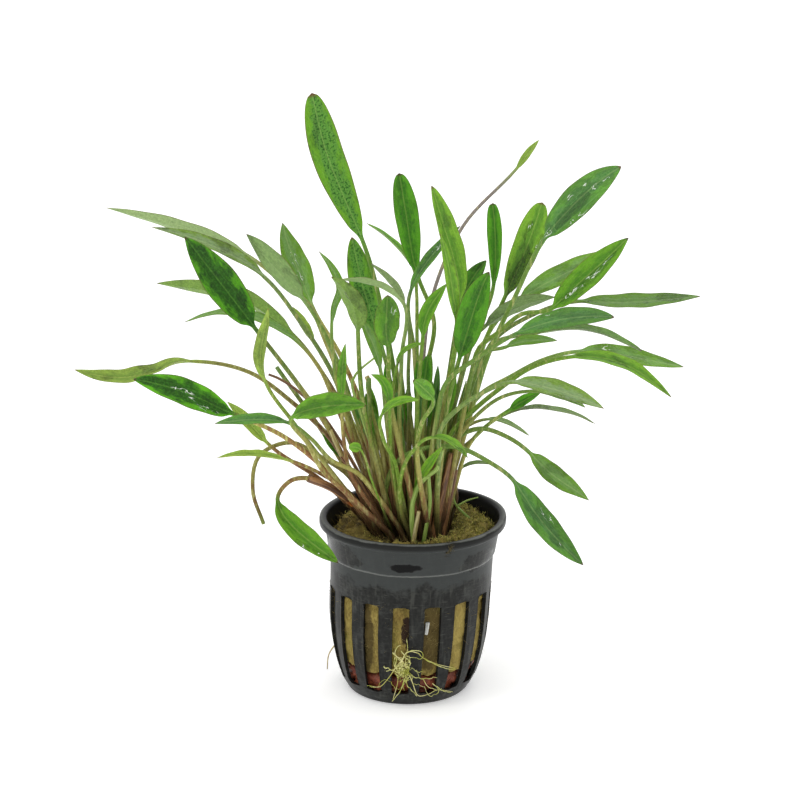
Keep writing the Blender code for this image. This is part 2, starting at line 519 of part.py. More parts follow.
def shoot_mesh(bm, shoot, centres, along, sunk=0.0):
    """Lofts five-sided cross-sections from the round stalk to the thin, folded blade."""
    tangent, across, normal = frames(shoot, centres, along)
    half = half_widths(shoot, along)
    radius = stalk_radii(shoot, along)
    angles = np.radians((-180, -120, -60, 0, 90))
    rings = []
    for index, centre in enumerate(centres):
        side, out = across[index], normal[index]
        if index == 0:
            side = np.array([side[0], side[1], 0.0]) if abs(side[2]) < 0.9 else np.array([1.0, 0, 0])
            side = unit(side)
            out = np.cross((0, 0, 1.0), side)
            centre = centre - (0, 0, sunk)
        wide = max(half[index], radius[index]) if along[index] >= 0 else radius[index]
        blade = min(1.0, max(0.0, along[index] * 6))
        thick = radius[index] + (BLADE_THICKNESS / 2 - radius[index]) * blade
        thick = min(thick, max(half[index], BLADE_LEAST_HALF)) if along[index] > 0.9 else thick
        if along[index] == 1:
            wide = TIP_HALF_WIDTH
        lift = BLADE_FOLD * wide * blade
        ring = []
        for angle in angles:
            x = math.cos(angle) * wide
            y = math.sin(angle) * thick + lift * abs(math.cos(angle))
            ring.append(bm.verts.new(Vector(centre + side * x + out * y) * MM))
        rings.append(ring)
    for lower, upper in zip(rings, rings[1:]):
        for corner in range(5):
            after = (corner + 1) % 5
            bm.faces.new((lower[corner], lower[after], upper[after], upper[corner]))
    bm.faces.new(rings[0][::-1])
    bm.faces.new(rings[-1])


def pot_radius(height):
    """Outer radius of the pot at a height above its underside."""
    section = ((0.0, FOOT_RADIUS),) + FOOT_CURVE
    section += ((SLOT_TOP, BODY_RADIUS), (STEP_HEIGHT, STEP_FOOT_RADIUS))
    return float(np.interp(height, *zip(*section)))


def pot_profile():
    """Half of the pot's section, from the middle of its floor up inside and down outside."""
    lip_foot = POT_HEIGHT - LIP_HEIGHT
    inner = [(0.0, FLOOR_THICKNESS), (FOOT_RADIUS - 0.2, FLOOR_THICKNESS)]
    for height in INNER_HEIGHTS + (SLOT_TOP + 1, STEP_HEIGHT):
        inner.append((pot_radius(height) - WALL, height))
    inner.append((COLLAR_RADIUS - WALL, lip_foot))
    lip = [(RIM_RADIUS - LIP_FLAT, POT_HEIGHT), (RIM_RADIUS - LIP_ROUND, POT_HEIGHT),
           (RIM_RADIUS, POT_HEIGHT - LIP_ROUND), (RIM_RADIUS, lip_foot + LIP_ROUND / 2),
           (RIM_RADIUS - LIP_ROUND / 2, lip_foot), (COLLAR_RADIUS, lip_foot - LIP_ROUND / 2)]
    outer = [(STEP_RADIUS, STEP_HEIGHT + LIP_ROUND), (STEP_FOOT_RADIUS, STEP_HEIGHT)]
    for height in (SLOT_TOP + 1,) + OUTER_HEIGHTS:
        outer.append((pot_radius(height), height))
    return inner + lip + outer + [(0.0, 0.0)]


def turned(name, profile, sides):
    """A turned solid: the profile, in millimetres, carried round Z by a Screw modifier."""
    mesh = bpy.data.meshes.new(name)
    vertices = [(radius * MM, 0.0, height * MM) for radius, height in profile]
    mesh.from_pydata(vertices, [(i, i + 1) for i in range(len(vertices) - 1)], [])
    thing = bpy.data.objects.new(name, mesh)
    bpy.context.scene.collection.objects.link(thing)
    screw = thing.modifiers.new("Turn", "SCREW")
    screw.axis = "Z"
    screw.steps = sides
    screw.render_steps = sides
    screw.use_merge_vertices = True
    screw.merge_threshold = MERGE_DISTANCE * MM
    return thing


def finished(thing, matrix=None):
    """Replaces an object by its evaluated mesh, which the matrix then moves, and returns it."""
    bpy.context.view_layer.update()
    evaluated = thing.evaluated_get(bpy.context.evaluated_depsgraph_get())
    mesh = bpy.data.meshes.new_from_object(evaluated)
    mesh.transform(thing.matrix_world)
    if matrix is not None:
        mesh.transform(matrix)
    name = thing.name
    bpy.data.objects.remove(thing)
    mesh.name = name
    solid = bpy.data.objects.new(name, mesh)
    bpy.context.scene.collection.objects.link(solid)
    return solid


def leaning():
    """The shear that carries the rim to the right of the foot, as the soft pot stands."""
    return Matrix(((1, 0, RIM_SHIFT / POT_HEIGHT, 0), (0, 1, 0, 0), (0, 0, 1, 0), (0, 0, 0, 1)))


def cut(thing, cutter, operation="DIFFERENCE"):
    """Adds an exact Boolean of the cutter to the object."""
    step = thing.modifiers.new("Cut", "BOOLEAN")
    step.operation = operation
    step.solver = "EXACT"
    step.object = cutter
    cutter.hide_render = True
    cutter.display_type = "WIRE"


def slot_cutter():
    """Sixteen upright bars that cut the slots, and eight short ones that cut the floor."""
    mesh = bpy.data.meshes.new("slot_cutter")
    bm = bmesh.new()
    width = 2 * BODY_RADIUS * math.sin(math.radians(SLOT_WIDTH_ANGLE / 2))
    bar = Matrix.Diagonal((width * MM, SLOT_CUT_DEPTH * MM, (SLOT_TOP - SLOT_BOTTOM) * MM, 1))
    for number in range(SLOT_COUNT):
        turn = math.radians(SLOT_FIRST_ANGLE + number * 360 / SLOT_COUNT)
        place = Matrix.Translation((0, -(BODY_RADIUS + 1) * MM, (SLOT_TOP + SLOT_BOTTOM) / 2 * MM))
        bmesh.ops.create_cube(bm, size=1, matrix=Matrix.Rotation(turn, 4, "Z") @ place @ bar)
    slit = Matrix.Diagonal((FLOOR_SLIT_WIDTH * MM, FLOOR_SLIT_LENGTH * MM, FLOOR_CUT_DEPTH * MM, 1))
    for number in range(FLOOR_SLIT_COUNT):
        turn = math.radians(number * 360 / FLOOR_SLIT_COUNT)
        place = Matrix.Translation((0, -FLOOR_SLIT_MIDDLE * MM, 0))
        bmesh.ops.create_cube(bm, size=1, matrix=Matrix.Rotation(turn, 4, "Z") @ place @ slit)
    bm.to_mesh(mesh)
    bm.free()
    cutter = bpy.data.objects.new("slot_cutter", mesh)
    bpy.context.scene.collection.objects.link(cutter)
    return cutter


def make_net_pot(cutters):
    pot = turned("net_pot", pot_profile(), POT_SIDES)
    cutter = slot_cutter()
    cut(pot, cutter)
    pot = finished(pot, leaning())
    cutters.append(cutter)
    return pot


def make_wool(cutters):
    """The wool plug, rounded at its edges, with a flared pocket that the crown sits in."""
    profile = [(0.0, WOOL_TOP)] + [(radius, WOOL_TOP - drop) for radius, drop in WOOL_EDGE]
    profile += [(pot_radius(height) - WALL - WOOL_CLEARANCE, height)
                for height in (SLOT_TOP + 6, 22.0, 16.0)]
    bevel, rise = WOOL_FOOT_BEVEL
    profile += [(WOOL_FOOT_RADIUS, WOOL_BOTTOM + rise), (WOOL_FOOT_RADIUS - bevel, WOOL_BOTTOM),
                (0.0, WOOL_BOTTOM)]
    wool = turned("rock_wool", profile, WOOL_SIDES)
    reach = CROWN_RADIUS + POCKET_GAP
    pocket = [(0.0, WOOL_TOP + 2), (reach + POCKET_FLARE * 2, WOOL_TOP + 2), (reach, CROWN_TOP),
              (reach * 0.97, CROWN_TOP - 4), (reach * 0.7, CROWN_TOP - CROWN_DEPTH - GAP),
              (0.0, CROWN_TOP - CROWN_DEPTH - GAP)]
    cutter = turned("pocket_cutter", pocket, CROWN_SIDES)
    cutter.location = (CROWN_CENTRE[0] * MM, CROWN_CENTRE[1] * MM, 0)
    bpy.context.view_layer.update()
    wool = finished(wool, leaning())
    cut(wool, cutter)
    cutters.append(cutter)
    return wool


def make_clay():
    """The baked clay pieces in the foot of the pot, as one lumpy layer under the wool."""
    bm = bmesh.new()
    rings = []
    for height, radius in CLAY_ROWS:
        ring = []
        for step in range(CLAY_SIDES):
            angle = 2 * math.pi * step / CLAY_SIDES
            place = Vector((math.cos(angle), math.sin(angle), 0)) * radius
            lump = noise.noise(Vector((place.x, place.y, height)) / CLAY_LUMP_SIZE)
            place *= 1 - CLAY_LUMP_SHARE * (0.5 + lump)
            ring.append(bm.verts.new((place.x * MM, place.y * MM, height * MM)))
        rings.append(ring)
    for lower, upper in zip(rings, rings[1:]):
        for step in range(CLAY_SIDES):
            after = (step + 1) % CLAY_SIDES
            bm.faces.new((lower[step], lower[after], upper[after], upper[step]))
    bm.faces.new(rings[0][::-1])
    bm.faces.new(rings[-1])
    mesh = bpy.data.meshes.new("baked_clay")
    bm.to_mesh(mesh)
    bm.free()
    clay = bpy.data.objects.new("baked_clay", mesh)
    bpy.context.scene.collection.objects.link(clay)
    return finished(clay, leaning())


def make_crown(shoots, paths, cutters):
    """The rootstock, with its stubs, bare stalks and young leaves joined to it."""
    bevel, drop = CROWN_BEVEL
    profile = [(0.0, CROWN_TOP), (CROWN_RADIUS - bevel, CROWN_TOP), (CROWN_RADIUS, CROWN_TOP - drop),
               (CROWN_RADIUS * 0.93, CROWN_TOP - 5), (CROWN_RADIUS * 0.6, CROWN_TOP - CROWN_DEPTH),
               (0.0, CROWN_TOP - CROWN_DEPTH)]
    crown = turned("crown", profile, CROWN_SIDES)
    crown.location = (CROWN_CENTRE[0] * MM, CROWN_CENTRE[1] * MM, 0)
    bm = bmesh.new()
    for shoot, (centres, along) in zip(shoots, paths):
        shoot_mesh(bm, shoot, centres, along, sunk=SHOOT_DEPTH)
    mesh = bpy.data.meshes.new("young_shoots")
    bm.to_mesh(mesh)
    bm.free()
    young = bpy.data.objects.new("young_shoots", mesh)
    bpy.context.scene.collection.objects.link(young)
    cut(crown, young, "UNION")
    cutters.append(young)
    return crown


def make_leaf(shoot, centres, along):
    mesh = bpy.data.meshes.new(shoot.name)
    bm = bmesh.new()
    shoot_mesh(bm, shoot, centres, along)
    bm.to_mesh(mesh)
    bm.free()
    thing = bpy.data.objects.new(shoot.name, mesh)
    bpy.context.scene.collection.objects.link(thing)
    return thing


def on_pot(across, up, clearance):
    """A point of the drawing plane carried forward until it lies this far off the pot's wall."""
    depth = -BODY_RADIUS
    for _ in range(12):
        place = drawn_point(across, up, depth)
        axis = RIM_SHIFT * place[2] / POT_HEIGHT
        reach = pot_radius(place[2]) + clearance
        depth = -math.sqrt(max(reach ** 2 - (place[0] - axis) ** 2, 1.0))
    return drawn_point(across, up, depth)


def make_root(name, points):
    """One root: a thin tube along a smooth line through the points, as a mesh object."""
    curve = bpy.data.curves.new(name, "CURVE")
    curve.dimensions = "3D"
    curve.bevel_depth = ROOT_RADIUS * MM
    curve.bevel_resolution = 0
    curve.use_fill_caps = True
    line = curve_through(np.array(points), per_span=2)[0]
    spline = curve.splines.new("POLY")
    spline.points.add(len(line) - 1)
    for point, place in zip(spline.points, line):
        point.co = (*(place * MM), 1)
    thing = bpy.data.objects.new(name, curve)
    bpy.context.scene.collection.objects.link(thing)
    thing = finished(thing)
    bm = bmesh.new()
    bm.from_mesh(thing.data)
    bmesh.ops.remove_doubles(bm, verts=bm.verts, dist=MERGE_DISTANCE * MM)
    bmesh.ops.recalc_face_normals(bm, faces=bm.faces)
    bm.to_mesh(thing.data)
    bm.free()
    return thing


def make_front_roots(cutters):
    """The tangle over the front ribs: strands that meet in a knot, which goes in at a slot."""
    knot = on_pot(*ROOT_KNOT, KNOT_CLEARANCE)
    slot = knot + KNOT_TO_SLOT
    tangle = make_root("front_roots", [slot, (slot + knot) / 2, knot])
    for number, strand in enumerate(ROOT_STRANDS):
        points = [knot] + [on_pot(*place, ROOT_RADIUS + ROOT_CLEARANCE) for place in strand]
        piece = make_root("root_strand_%d" % (number + 1), points)
        cut(tangle, piece, "UNION")
        cutters.append(piece)
    return tangle


def make_left_root():
    """The stray root that comes out of a slot at the left and hangs down outside the pot."""
    return make_root("left_root", LEFT_ROOT)


def material(name, colour, roughness):
    """A Principled material with a base colour in linear RGB."""
    new = bpy.data.materials.new(name)
    new.use_nodes = True
    shader = new.node_tree.nodes["Principled BSDF"]
    shader.inputs["Base Color"].default_value = (*colour, 1)
    shader.inputs["Roughness"].default_value = roughness
    shader.inputs["Metallic"].default_value = 0.0
    return new


def main():
    for old in list(bpy.data.objects):
        bpy.data.objects.remove(old)
    model = bpy.data.collections.new("potted_cryptocoryne")
    tools = bpy.data.collections.new("cutters")
    for collection in (model, tools):
        bpy.context.scene.collection.children.link(collection)

    leaves = LEFT_LEAVES + MIDDLE_LEAVES + RIGHT_LEAVES
    paths = settle(leaves + SMALL_SHOOTS)
    cutters = []
    pieces = {
        "plastic": [make_net_pot(cutters)],
        "wool": [make_wool(cutters)],
        "clay": [make_clay()],
        "crown": [make_crown(SMALL_SHOOTS, paths[len(leaves):], cutters)],
        "root": [make_front_roots(cutters), make_left_root()],
        "leaf": [make_leaf(shoot, *path) for shoot, path in zip(leaves, paths)],
    }
    for kind, group in pieces.items():
        for thing in group:
            colour, roughness = FINISHES[kind]
            thing.data.materials.clear()
            thing.data.materials.append(material(thing.name, colour, roughness))
            thing.data.shade_smooth()
            thing.data.set_sharp_from_angle(angle=math.radians(SHARP_ANGLE))
            bpy.context.scene.collection.objects.unlink(thing)
            model.objects.link(thing)
    for cutter in cutters:
        cutter.hide_render = True
        cutter.display_type = "WIRE"
        bpy.context.scene.collection.objects.unlink(cutter)
        tools.objects.link(cutter)


main()
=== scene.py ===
# %% [markdown]
# # A potted cryptocoryne
# An aquarium plant with long, narrow leaves on thin stalks, in a small slotted net pot that is filled
# with mineral wool. The solids of the plant and the pot come ready made, as the fixed frame. Each of
# them is dressed here with a finer surface that stands exactly where the solid does.
# Every surface is a grid of points, worked out with numpy as a function of two parameters.

# %% Load the frame
import math

import bpy
import numpy as np
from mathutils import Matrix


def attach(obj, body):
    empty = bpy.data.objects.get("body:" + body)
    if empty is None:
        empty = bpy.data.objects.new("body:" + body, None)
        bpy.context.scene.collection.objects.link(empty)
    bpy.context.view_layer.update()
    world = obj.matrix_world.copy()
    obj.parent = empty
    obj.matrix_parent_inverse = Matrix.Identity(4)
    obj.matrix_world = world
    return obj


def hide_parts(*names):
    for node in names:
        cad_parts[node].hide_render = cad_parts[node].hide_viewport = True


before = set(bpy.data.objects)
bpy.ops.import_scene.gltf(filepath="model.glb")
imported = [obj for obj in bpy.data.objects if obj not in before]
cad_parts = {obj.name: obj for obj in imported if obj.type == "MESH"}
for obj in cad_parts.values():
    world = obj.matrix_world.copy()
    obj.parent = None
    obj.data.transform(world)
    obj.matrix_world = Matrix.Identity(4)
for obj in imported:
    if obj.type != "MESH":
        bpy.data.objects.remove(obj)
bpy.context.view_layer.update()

MM = 0.001
print("solids in the frame:", len(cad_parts))

# %% [markdown]
# ## The place of the camera
# The photograph was taken from the front and a little above. The ellipse of the pot's rim gives the
# angle: 17 degrees. A long lens, 800 mm away, keeps the pot's sides as straight as they look.
# Points that are read off the photograph are given on an upright plane through the middle of the rim,
# as millimetres across and up, and a depth behind that plane.

# %% Camera and drawing plane
EYE_DISTANCE = 800.0
EYE_TILT = math.radians(17.15)
# the point that the camera looks at, across and up on the drawing plane
EYE_ACROSS = -3.75
EYE_HEIGHT = 84.0
# the drawing plane stands this high over the table, and as far to the right as the pot's rim leans
PLANE_FOOT = 2.25
RIM_SHIFT = 1.5
LENS = 126.75

camera = bpy.data.objects.new("camera", bpy.data.cameras.new("camera"))
bpy.context.scene.collection.objects.link(camera)
bpy.context.scene.camera = camera
camera.data.lens = LENS
camera.data.clip_start, camera.data.clip_end = 0.05, 30.0
camera.rotation_euler = (math.pi / 2 - EYE_TILT, 0, 0)
eye = np.array([EYE_ACROSS, -EYE_DISTANCE * math.cos(EYE_TILT),
                EYE_HEIGHT + EYE_DISTANCE * math.sin(EYE_TILT)])
camera.location = (eye + (RIM_SHIFT, 0, PLANE_FOOT)) * MM


def drawn(across, up, back):
    """A point of the drawing plane, moved along its sight line until it is `back` behind the plane."""
    on_plane = np.array([across, 0.0, up])
    return eye + (on_plane - eye) * (1.0 - back / eye[1]) + (RIM_SHIFT, 0.0, PLANE_FOOT)


print("camera at", [round(x, 4) for x in camera.location])

# %% [markdown]
# ## Colours and nodes
# A colour is written as a hex value, as it looks on a screen, and the renderer wants it linear. A
# material could be clicked together in the shader editor. Here one function adds a node with its
# settings and links, so each finish further down reads from top to bottom like a recipe.

# %% Colours and nodes
def linear(hex_colour):
    """Turns an sRGB hex value to linear red, green, blue and an alpha of one."""
    shown = np.array([int(hex_colour[i:i + 2], 16) for i in (1, 3, 5)]) / 255
    return (*np.where(shown <= 0.04045, shown / 12.92, ((shown + 0.055) / 1.055) ** 2.4), 1.0)


# a MapRange node with this setting rises with no corner at its ends
SOFT_STEP = {"interpolation_type": "SMOOTHSTEP"}


def add(tree, kind, inputs, out=0, **settings):
    """Adds a node, sets its settings, fills its inputs with values or other outputs, gives an output."""
    node = tree.nodes.new("ShaderNode" + kind)
    for key, value in settings.items():
        setattr(node, key, value)
    for key, value in inputs.items():
        if isinstance(value, bpy.types.NodeSocket):
            tree.links.new(value, node.inputs[key])
        else:
            node.inputs[key].default_value = value
    return node.outputs[out]


def layered(tree, colour, layers):
    """Lays colours over a first one in turn. A layer is a mask, how strong it is, and a hex value."""
    for mask, strength, hex_colour in layers:
        mask = add(tree, "Math", {0: mask, 1: strength}, operation="MULTIPLY")
        colour = add(tree, "Mix", {0: mask, 6: colour, 7: linear(hex_colour)}, 2, data_type="RGBA")
    return colour


def finish(name, paint, *options):
    """Makes a material whose shader inputs are what the paint function gives."""
    material = bpy.data.materials.new(name)
    material.use_nodes = True
    tree = material.node_tree
    shader = tree.nodes["Principled BSDF"]
    for key, value in paint(tree, *options).items():
        if isinstance(value, bpy.types.NodeSocket):
            tree.links.new(value, shader.inputs[key])
        else:
            shader.inputs[key].default_value = value
    return material


print("a middle grey, #808080, is", round(float(linear("#808080")[0]), 3), "in linear light")

# %% [markdown]
# ## Meshes from arrays
# A mesh could be built point by point with a loop, which is slow for a hundred thousand points. Here
# all points and faces are numpy arrays, and foreach_set puts each array into the mesh in one go.

# %% Meshes
def piece(name, points, faces, material, body="root", smooth=True, **marks):
    """A mesh object from points in millimetres and a list of face arrays, riding on the body.

    Each array in faces has one face a row. Marks are numbers or vectors that are kept at each point.
    """
    mesh = bpy.data.meshes.new(name)
    mesh.vertices.add(len(points))
    mesh.vertices.foreach_set("co", (np.asarray(points) * MM).astype(np.float32).ravel())
    corners = np.concatenate([np.asarray(group).ravel() for group in faces])
    sizes = np.concatenate([np.full(len(group), group.shape[1]) for group in faces])
    mesh.loops.add(len(corners))
    mesh.loops.foreach_set("vertex_index", corners.astype(np.int32))
    mesh.polygons.add(len(sizes))
    mesh.polygons.foreach_set("loop_start", (np.cumsum(sizes) - sizes).astype(np.int32))
    mesh.update(calc_edges=True)
    mesh.validate()
    for key, value in marks.items():
        value = np.asarray(value, np.float32)
        kind, field = ("FLOAT", "value") if value.ndim == 1 else ("FLOAT_VECTOR", "vector")
        mesh.attributes.new(key, kind, "POINT").data.foreach_set(field, value.ravel())
    if smooth:
        mesh.shade_smooth()
    mesh.materials.append(material)
    thing = bpy.data.objects.new(name, mesh)
    bpy.context.scene.collection.objects.link(thing)
    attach(thing, body)
    return thing


print("a mesh coordinate of 1 mm is", MM, "in the scene")

# %% [markdown]
# ## Reading a leaf off its solid
# Each solid leaf is a chain of five-sided rings, from the crown to the tip. Its fine surface follows the
# same line, so the rings are read back: points are merged, and from the five that stand on the crown
# the neighbours are taken ring by ring.

# %% Rings of a solid
CROWN_TOP = 46.5
STALK_FOOT = 46.85
RING_POINTS = 5


def unit(vectors):
    """Vectors of length one."""
    return vectors / np.maximum(np.linalg.norm(vectors, axis=-1, keepdims=True), 1e-12)


def merged(node):
    """Points of a solid in millimetres, and the pairs of them that an edge joins."""
    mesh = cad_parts[node].data
    points = np.empty(len(mesh.vertices) * 3)
    mesh.vertices.foreach_get("co", points)
    corners = np.empty(len(mesh.loops), np.int32)
    mesh.loops.foreach_get("vertex_index", corners)
    points, places = np.unique(np.round(points.reshape(-1, 3) / MM, 4), axis=0, return_inverse=True)
    triangles = places.ravel()[corners].reshape(-1, 3)
    pairs = np.vstack([triangles[:, (0, 1)], triangles[:, (1, 2)], triangles[:, (2, 0)]])
    return points, np.vstack([pairs, pairs[:, ::-1]])


def rings_from(points, pairs, first):
    """Rings of points, each made of the new neighbours of the one before, as lists of numbers."""
    seen = np.zeros(len(points), bool)
    ring = np.asarray(first)
    rings = []
    while len(ring):
        rings.append(ring)
        seen[ring] = True
        beside = np.unique(pairs[np.isin(pairs[:, 0], ring), 1])
        ring = beside[~seen[beside]]
    return rings


def leaf_rings(name):
    """Rings of points of one leaf's solid, from its foot on the crown to its tip."""
    points, pairs = merged(name)
    first = np.argsort(np.abs(points[:, 2] - STALK_FOOT))[:RING_POINTS]
    return [points[ring] for ring in rings_from(points, pairs, first)]


tallest = leaf_rings("leaf_middle_01")
print("rings of the tallest leaf's solid:", len(tallest))

# %% [markdown]
# ### Margins and directions
# In a ring the two points that lie furthest apart are the leaf's margins. The point midway between them
# is on its upper face.

# %% Margins of a ring
def margins_of(ring_points):
    """The two margins of one ring, which lie furthest apart, and its top point, midway between them."""
    apart = np.linalg.norm(ring_points[:, None] - ring_points[None], axis=2)
    left, right = np.unravel_index(np.argmax(apart), apart.shape)
    middle = (ring_points[left] + ring_points[right]) / 2
    place = np.abs((ring_points - middle) @ unit(ring_points[right] - ring_points[left]))
    return ring_points[left], ring_points[right], ring_points[int(np.argmin(place))]


def directions_of(rings):
    """Middles, directions across and out of the upper face, and half widths of a chain of rings.

    On the stalk the top point shows which way is out. From there on each ring keeps the side that the
    one before it has, and out is the path's direction times the direction across.
    """
    left, right, top = (np.array(points) for points in zip(*map(margins_of, rings)))
    middle = (left + right) / 2
    tangent = unit(np.gradient(middle, axis=0))
    across = unit(right - left)
    if np.cross(tangent[0], across[0]) @ (top[0] - middle[0]) < 0:
        across[0] = -across[0]
    for row in range(1, len(across)):
        across[row] *= 1.0 if across[row] @ across[row - 1] > 0 else -1.0
    return middle, across, unit(np.cross(tangent, across)), np.linalg.norm(right - left, axis=1) / 2


print("the tallest leaf is", round(2 * float(directions_of(tallest)[3].max()), 1), "mm wide")

# %% [markdown]
# ## The line of a leaf
# A cryptocoryne leaf is a long lens on a round stalk. The solid gives its middle line at a few rings
# only. A cubic curve goes through them, and the width between them follows a lens-shaped formula.

# %% Leaf line
# where along the blade the solid has its rings: a blade narrower than YOUNG_SPAN has fewer
BLADE_PLACES = np.array([0.0, 0.15, 0.36, 0.6, 0.83, 1.0])
YOUNG_PLACES = np.array([0.0, 0.2, 0.5, 0.8, 1.0])
YOUNG_SPAN = 3.42
BLADE_FOLD = 0.22


def lens(place, tip=0.85, foot=0.75):
    """Share of the full width at a place from 0 to 1: place^foot times (1 - place)^tip, at most one."""
    widest = foot / (foot + tip)
    return place ** foot * (1 - place) ** tip / (widest ** foot * (1 - widest) ** tip)


def carried(values, length, fine):
    """Smooth curve through values at running lengths: cubic between them, with mean slopes."""
    slope = np.gradient(values, length, axis=0)
    span = np.clip(np.searchsorted(length, fine, side="right") - 1, 0, len(length) - 2)
    step = (length[span + 1] - length[span])[:, None]
    t = (fine - length[span])[:, None] / step
    return ((2 * t ** 3 - 3 * t ** 2 + 1) * values[span] + (t ** 3 - 2 * t ** 2 + t) * step * slope[span]
            + (3 * t ** 2 - 2 * t ** 3) * values[span + 1] + (t ** 3 - t ** 2) * step * slope[span + 1])


def path_of(rings, has_blade):
    """Middle line, directions and widths of a leaf at each of its rings, in order from the foot."""
    middle, across, out, half = directions_of(rings)
    if not has_blade:
        return middle, across, out, half, np.linspace(-1, 0, len(half)), 0.0
    span = 2 * half.max()
    places = BLADE_PLACES if span > YOUNG_SPAN else YOUNG_PLACES
    along = np.concatenate([np.linspace(-1, 0, len(half) - len(places), endpoint=False), places])
    lift = BLADE_FOLD * half * np.clip(along * 6, 0, 1)
    width = span / lens(places[1:-1]).max()
    return middle - out * lift[:, None], across, out, half, along, width


print("half way along, a blade has", round(float(lens(0.5)), 2), "of its full width")

# %% [markdown]
# ## The skin of a leaf
# The real blade is grown flat, folds a little along its midrib and waves a little at its margins. A
# sheet with a Solidify modifier would give a hard square edge and no stalk, so stalk and blade are
# one closed skin: the section starts as a circle and turns to a thin lens with a groove over the
# midrib and a rib below it.

# %% Leaf measures
# places across the blade, closer together at the margins and beside the midrib
SHARES = np.array([-1, -0.965, -0.87, -0.72, -0.54, -0.36, -0.2, -0.085, 0,
                   0.085, 0.2, 0.36, 0.54, 0.72, 0.87, 0.965, 1])
STALK_ROWS = 40
BLADE_ROWS = 72
# half a blade's thickness, and what is added to it so that the edge has some as well
HALF_THICK, EDGE_THICK = 0.16, 0.02
# depth and half width of the groove over the midrib and of the rib below it
GROOVE_DEPTH, GROOVE_HALF = 0.2, 0.4
RIB_DEPTH, RIB_HALF = 0.42, 0.55
# a stalk is a little thicker at its foot and a little flat, and a tip is never narrower than this
FOOT_SWELL, FOOT_REACH, STALK_FLATNESS = 0.3, 4.0, 0.92
LEAST_HALF_WIDTH = 0.04
# the rows stand closer at both ends of the blade, and the section is all blade from this place on
ROW_EASE, ALL_BLADE = 0.045, 0.13
# the foot goes this far into the crown, and each leaf's pattern is moved this far from the last one's
SINK, PATTERN_STEP = 1.2, 3.7
print("a blade is at most", round(2 * (HALF_THICK + EDGE_THICK), 2), "mm thick beside its midrib")

# %% [markdown]
# ### The shape of the section
# A lens whose height is a power of the way in from the margin.

# %% Leaf section
def smooth_step(value, low, high):
    """Rises from 0 at low to 1 at high with no corner: 3t^2 - 2t^3."""
    share = np.clip((value - low) / (high - low), 0, 1)
    return share * share * (3 - 2 * share)


def skin_heights(share, wide, place, flat, above):
    """Half the thickness at each point of the section, upward on the upper side and downward below.

    It is (1 - share^2)^0.6 times the greatest one, less a groove above and more a rib below, both bell
    curves of the way from the midrib.
    """
    x_blade = share * wide[:, None]
    fade = (1 - 0.75 * place)[:, None]
    thin = np.minimum(HALF_THICK, 0.45 * wide)[:, None] * (1 - share ** 2) ** 0.6 + EDGE_THICK
    groove = GROOVE_DEPTH * np.exp(-(x_blade / GROOVE_HALF) ** 2) * fade
    rib = RIB_DEPTH * np.exp(-(x_blade / RIB_HALF) ** 2) * fade
    return np.where(above > 0.4, thin - groove * flat, -(thin + rib * flat))


def fine_rows(width):
    """Places of the rows: from -1 to 0 along the stalk and 0 to 1 along the blade, eased by a sine."""
    stalk = np.linspace(-1, 0, STALK_ROWS, endpoint=width == 0)
    if not width:
        return stalk
    blade = np.linspace(0, 1, BLADE_ROWS)
    blade = blade + ROW_EASE * np.sin(2 * np.pi * blade)
    blade[-1] = 1.0
    return np.concatenate([stalk, blade])


def section_places():
    """Places round a section: share of the half width, angle on the stalk, and 1 on the upper side.

    It runs below from the left margin to the right one, and back above.
    """
    count = len(SHARES)
    half_turn = np.linspace(0, 180, count)
    angle = np.radians(np.concatenate([half_turn - 180, half_turn[1:-1]]))
    above = np.concatenate([np.zeros(count), np.ones(count - 2)])
    above[[0, count - 1]] = 0.5
    return np.concatenate([SHARES, SHARES[::-1][1:-1]])[None], angle[None], above[None]


print("rows and columns of one skin:", STALK_ROWS + BLADE_ROWS, "x", section_places()[0].size)

# %% [markdown]
# ### The section carried along
# Three directions go with the line: along it, to the side, and out of the upper face. Each section is
# laid out on the last two. No two leaves wave alike, so each one draws its waves from its own seed.

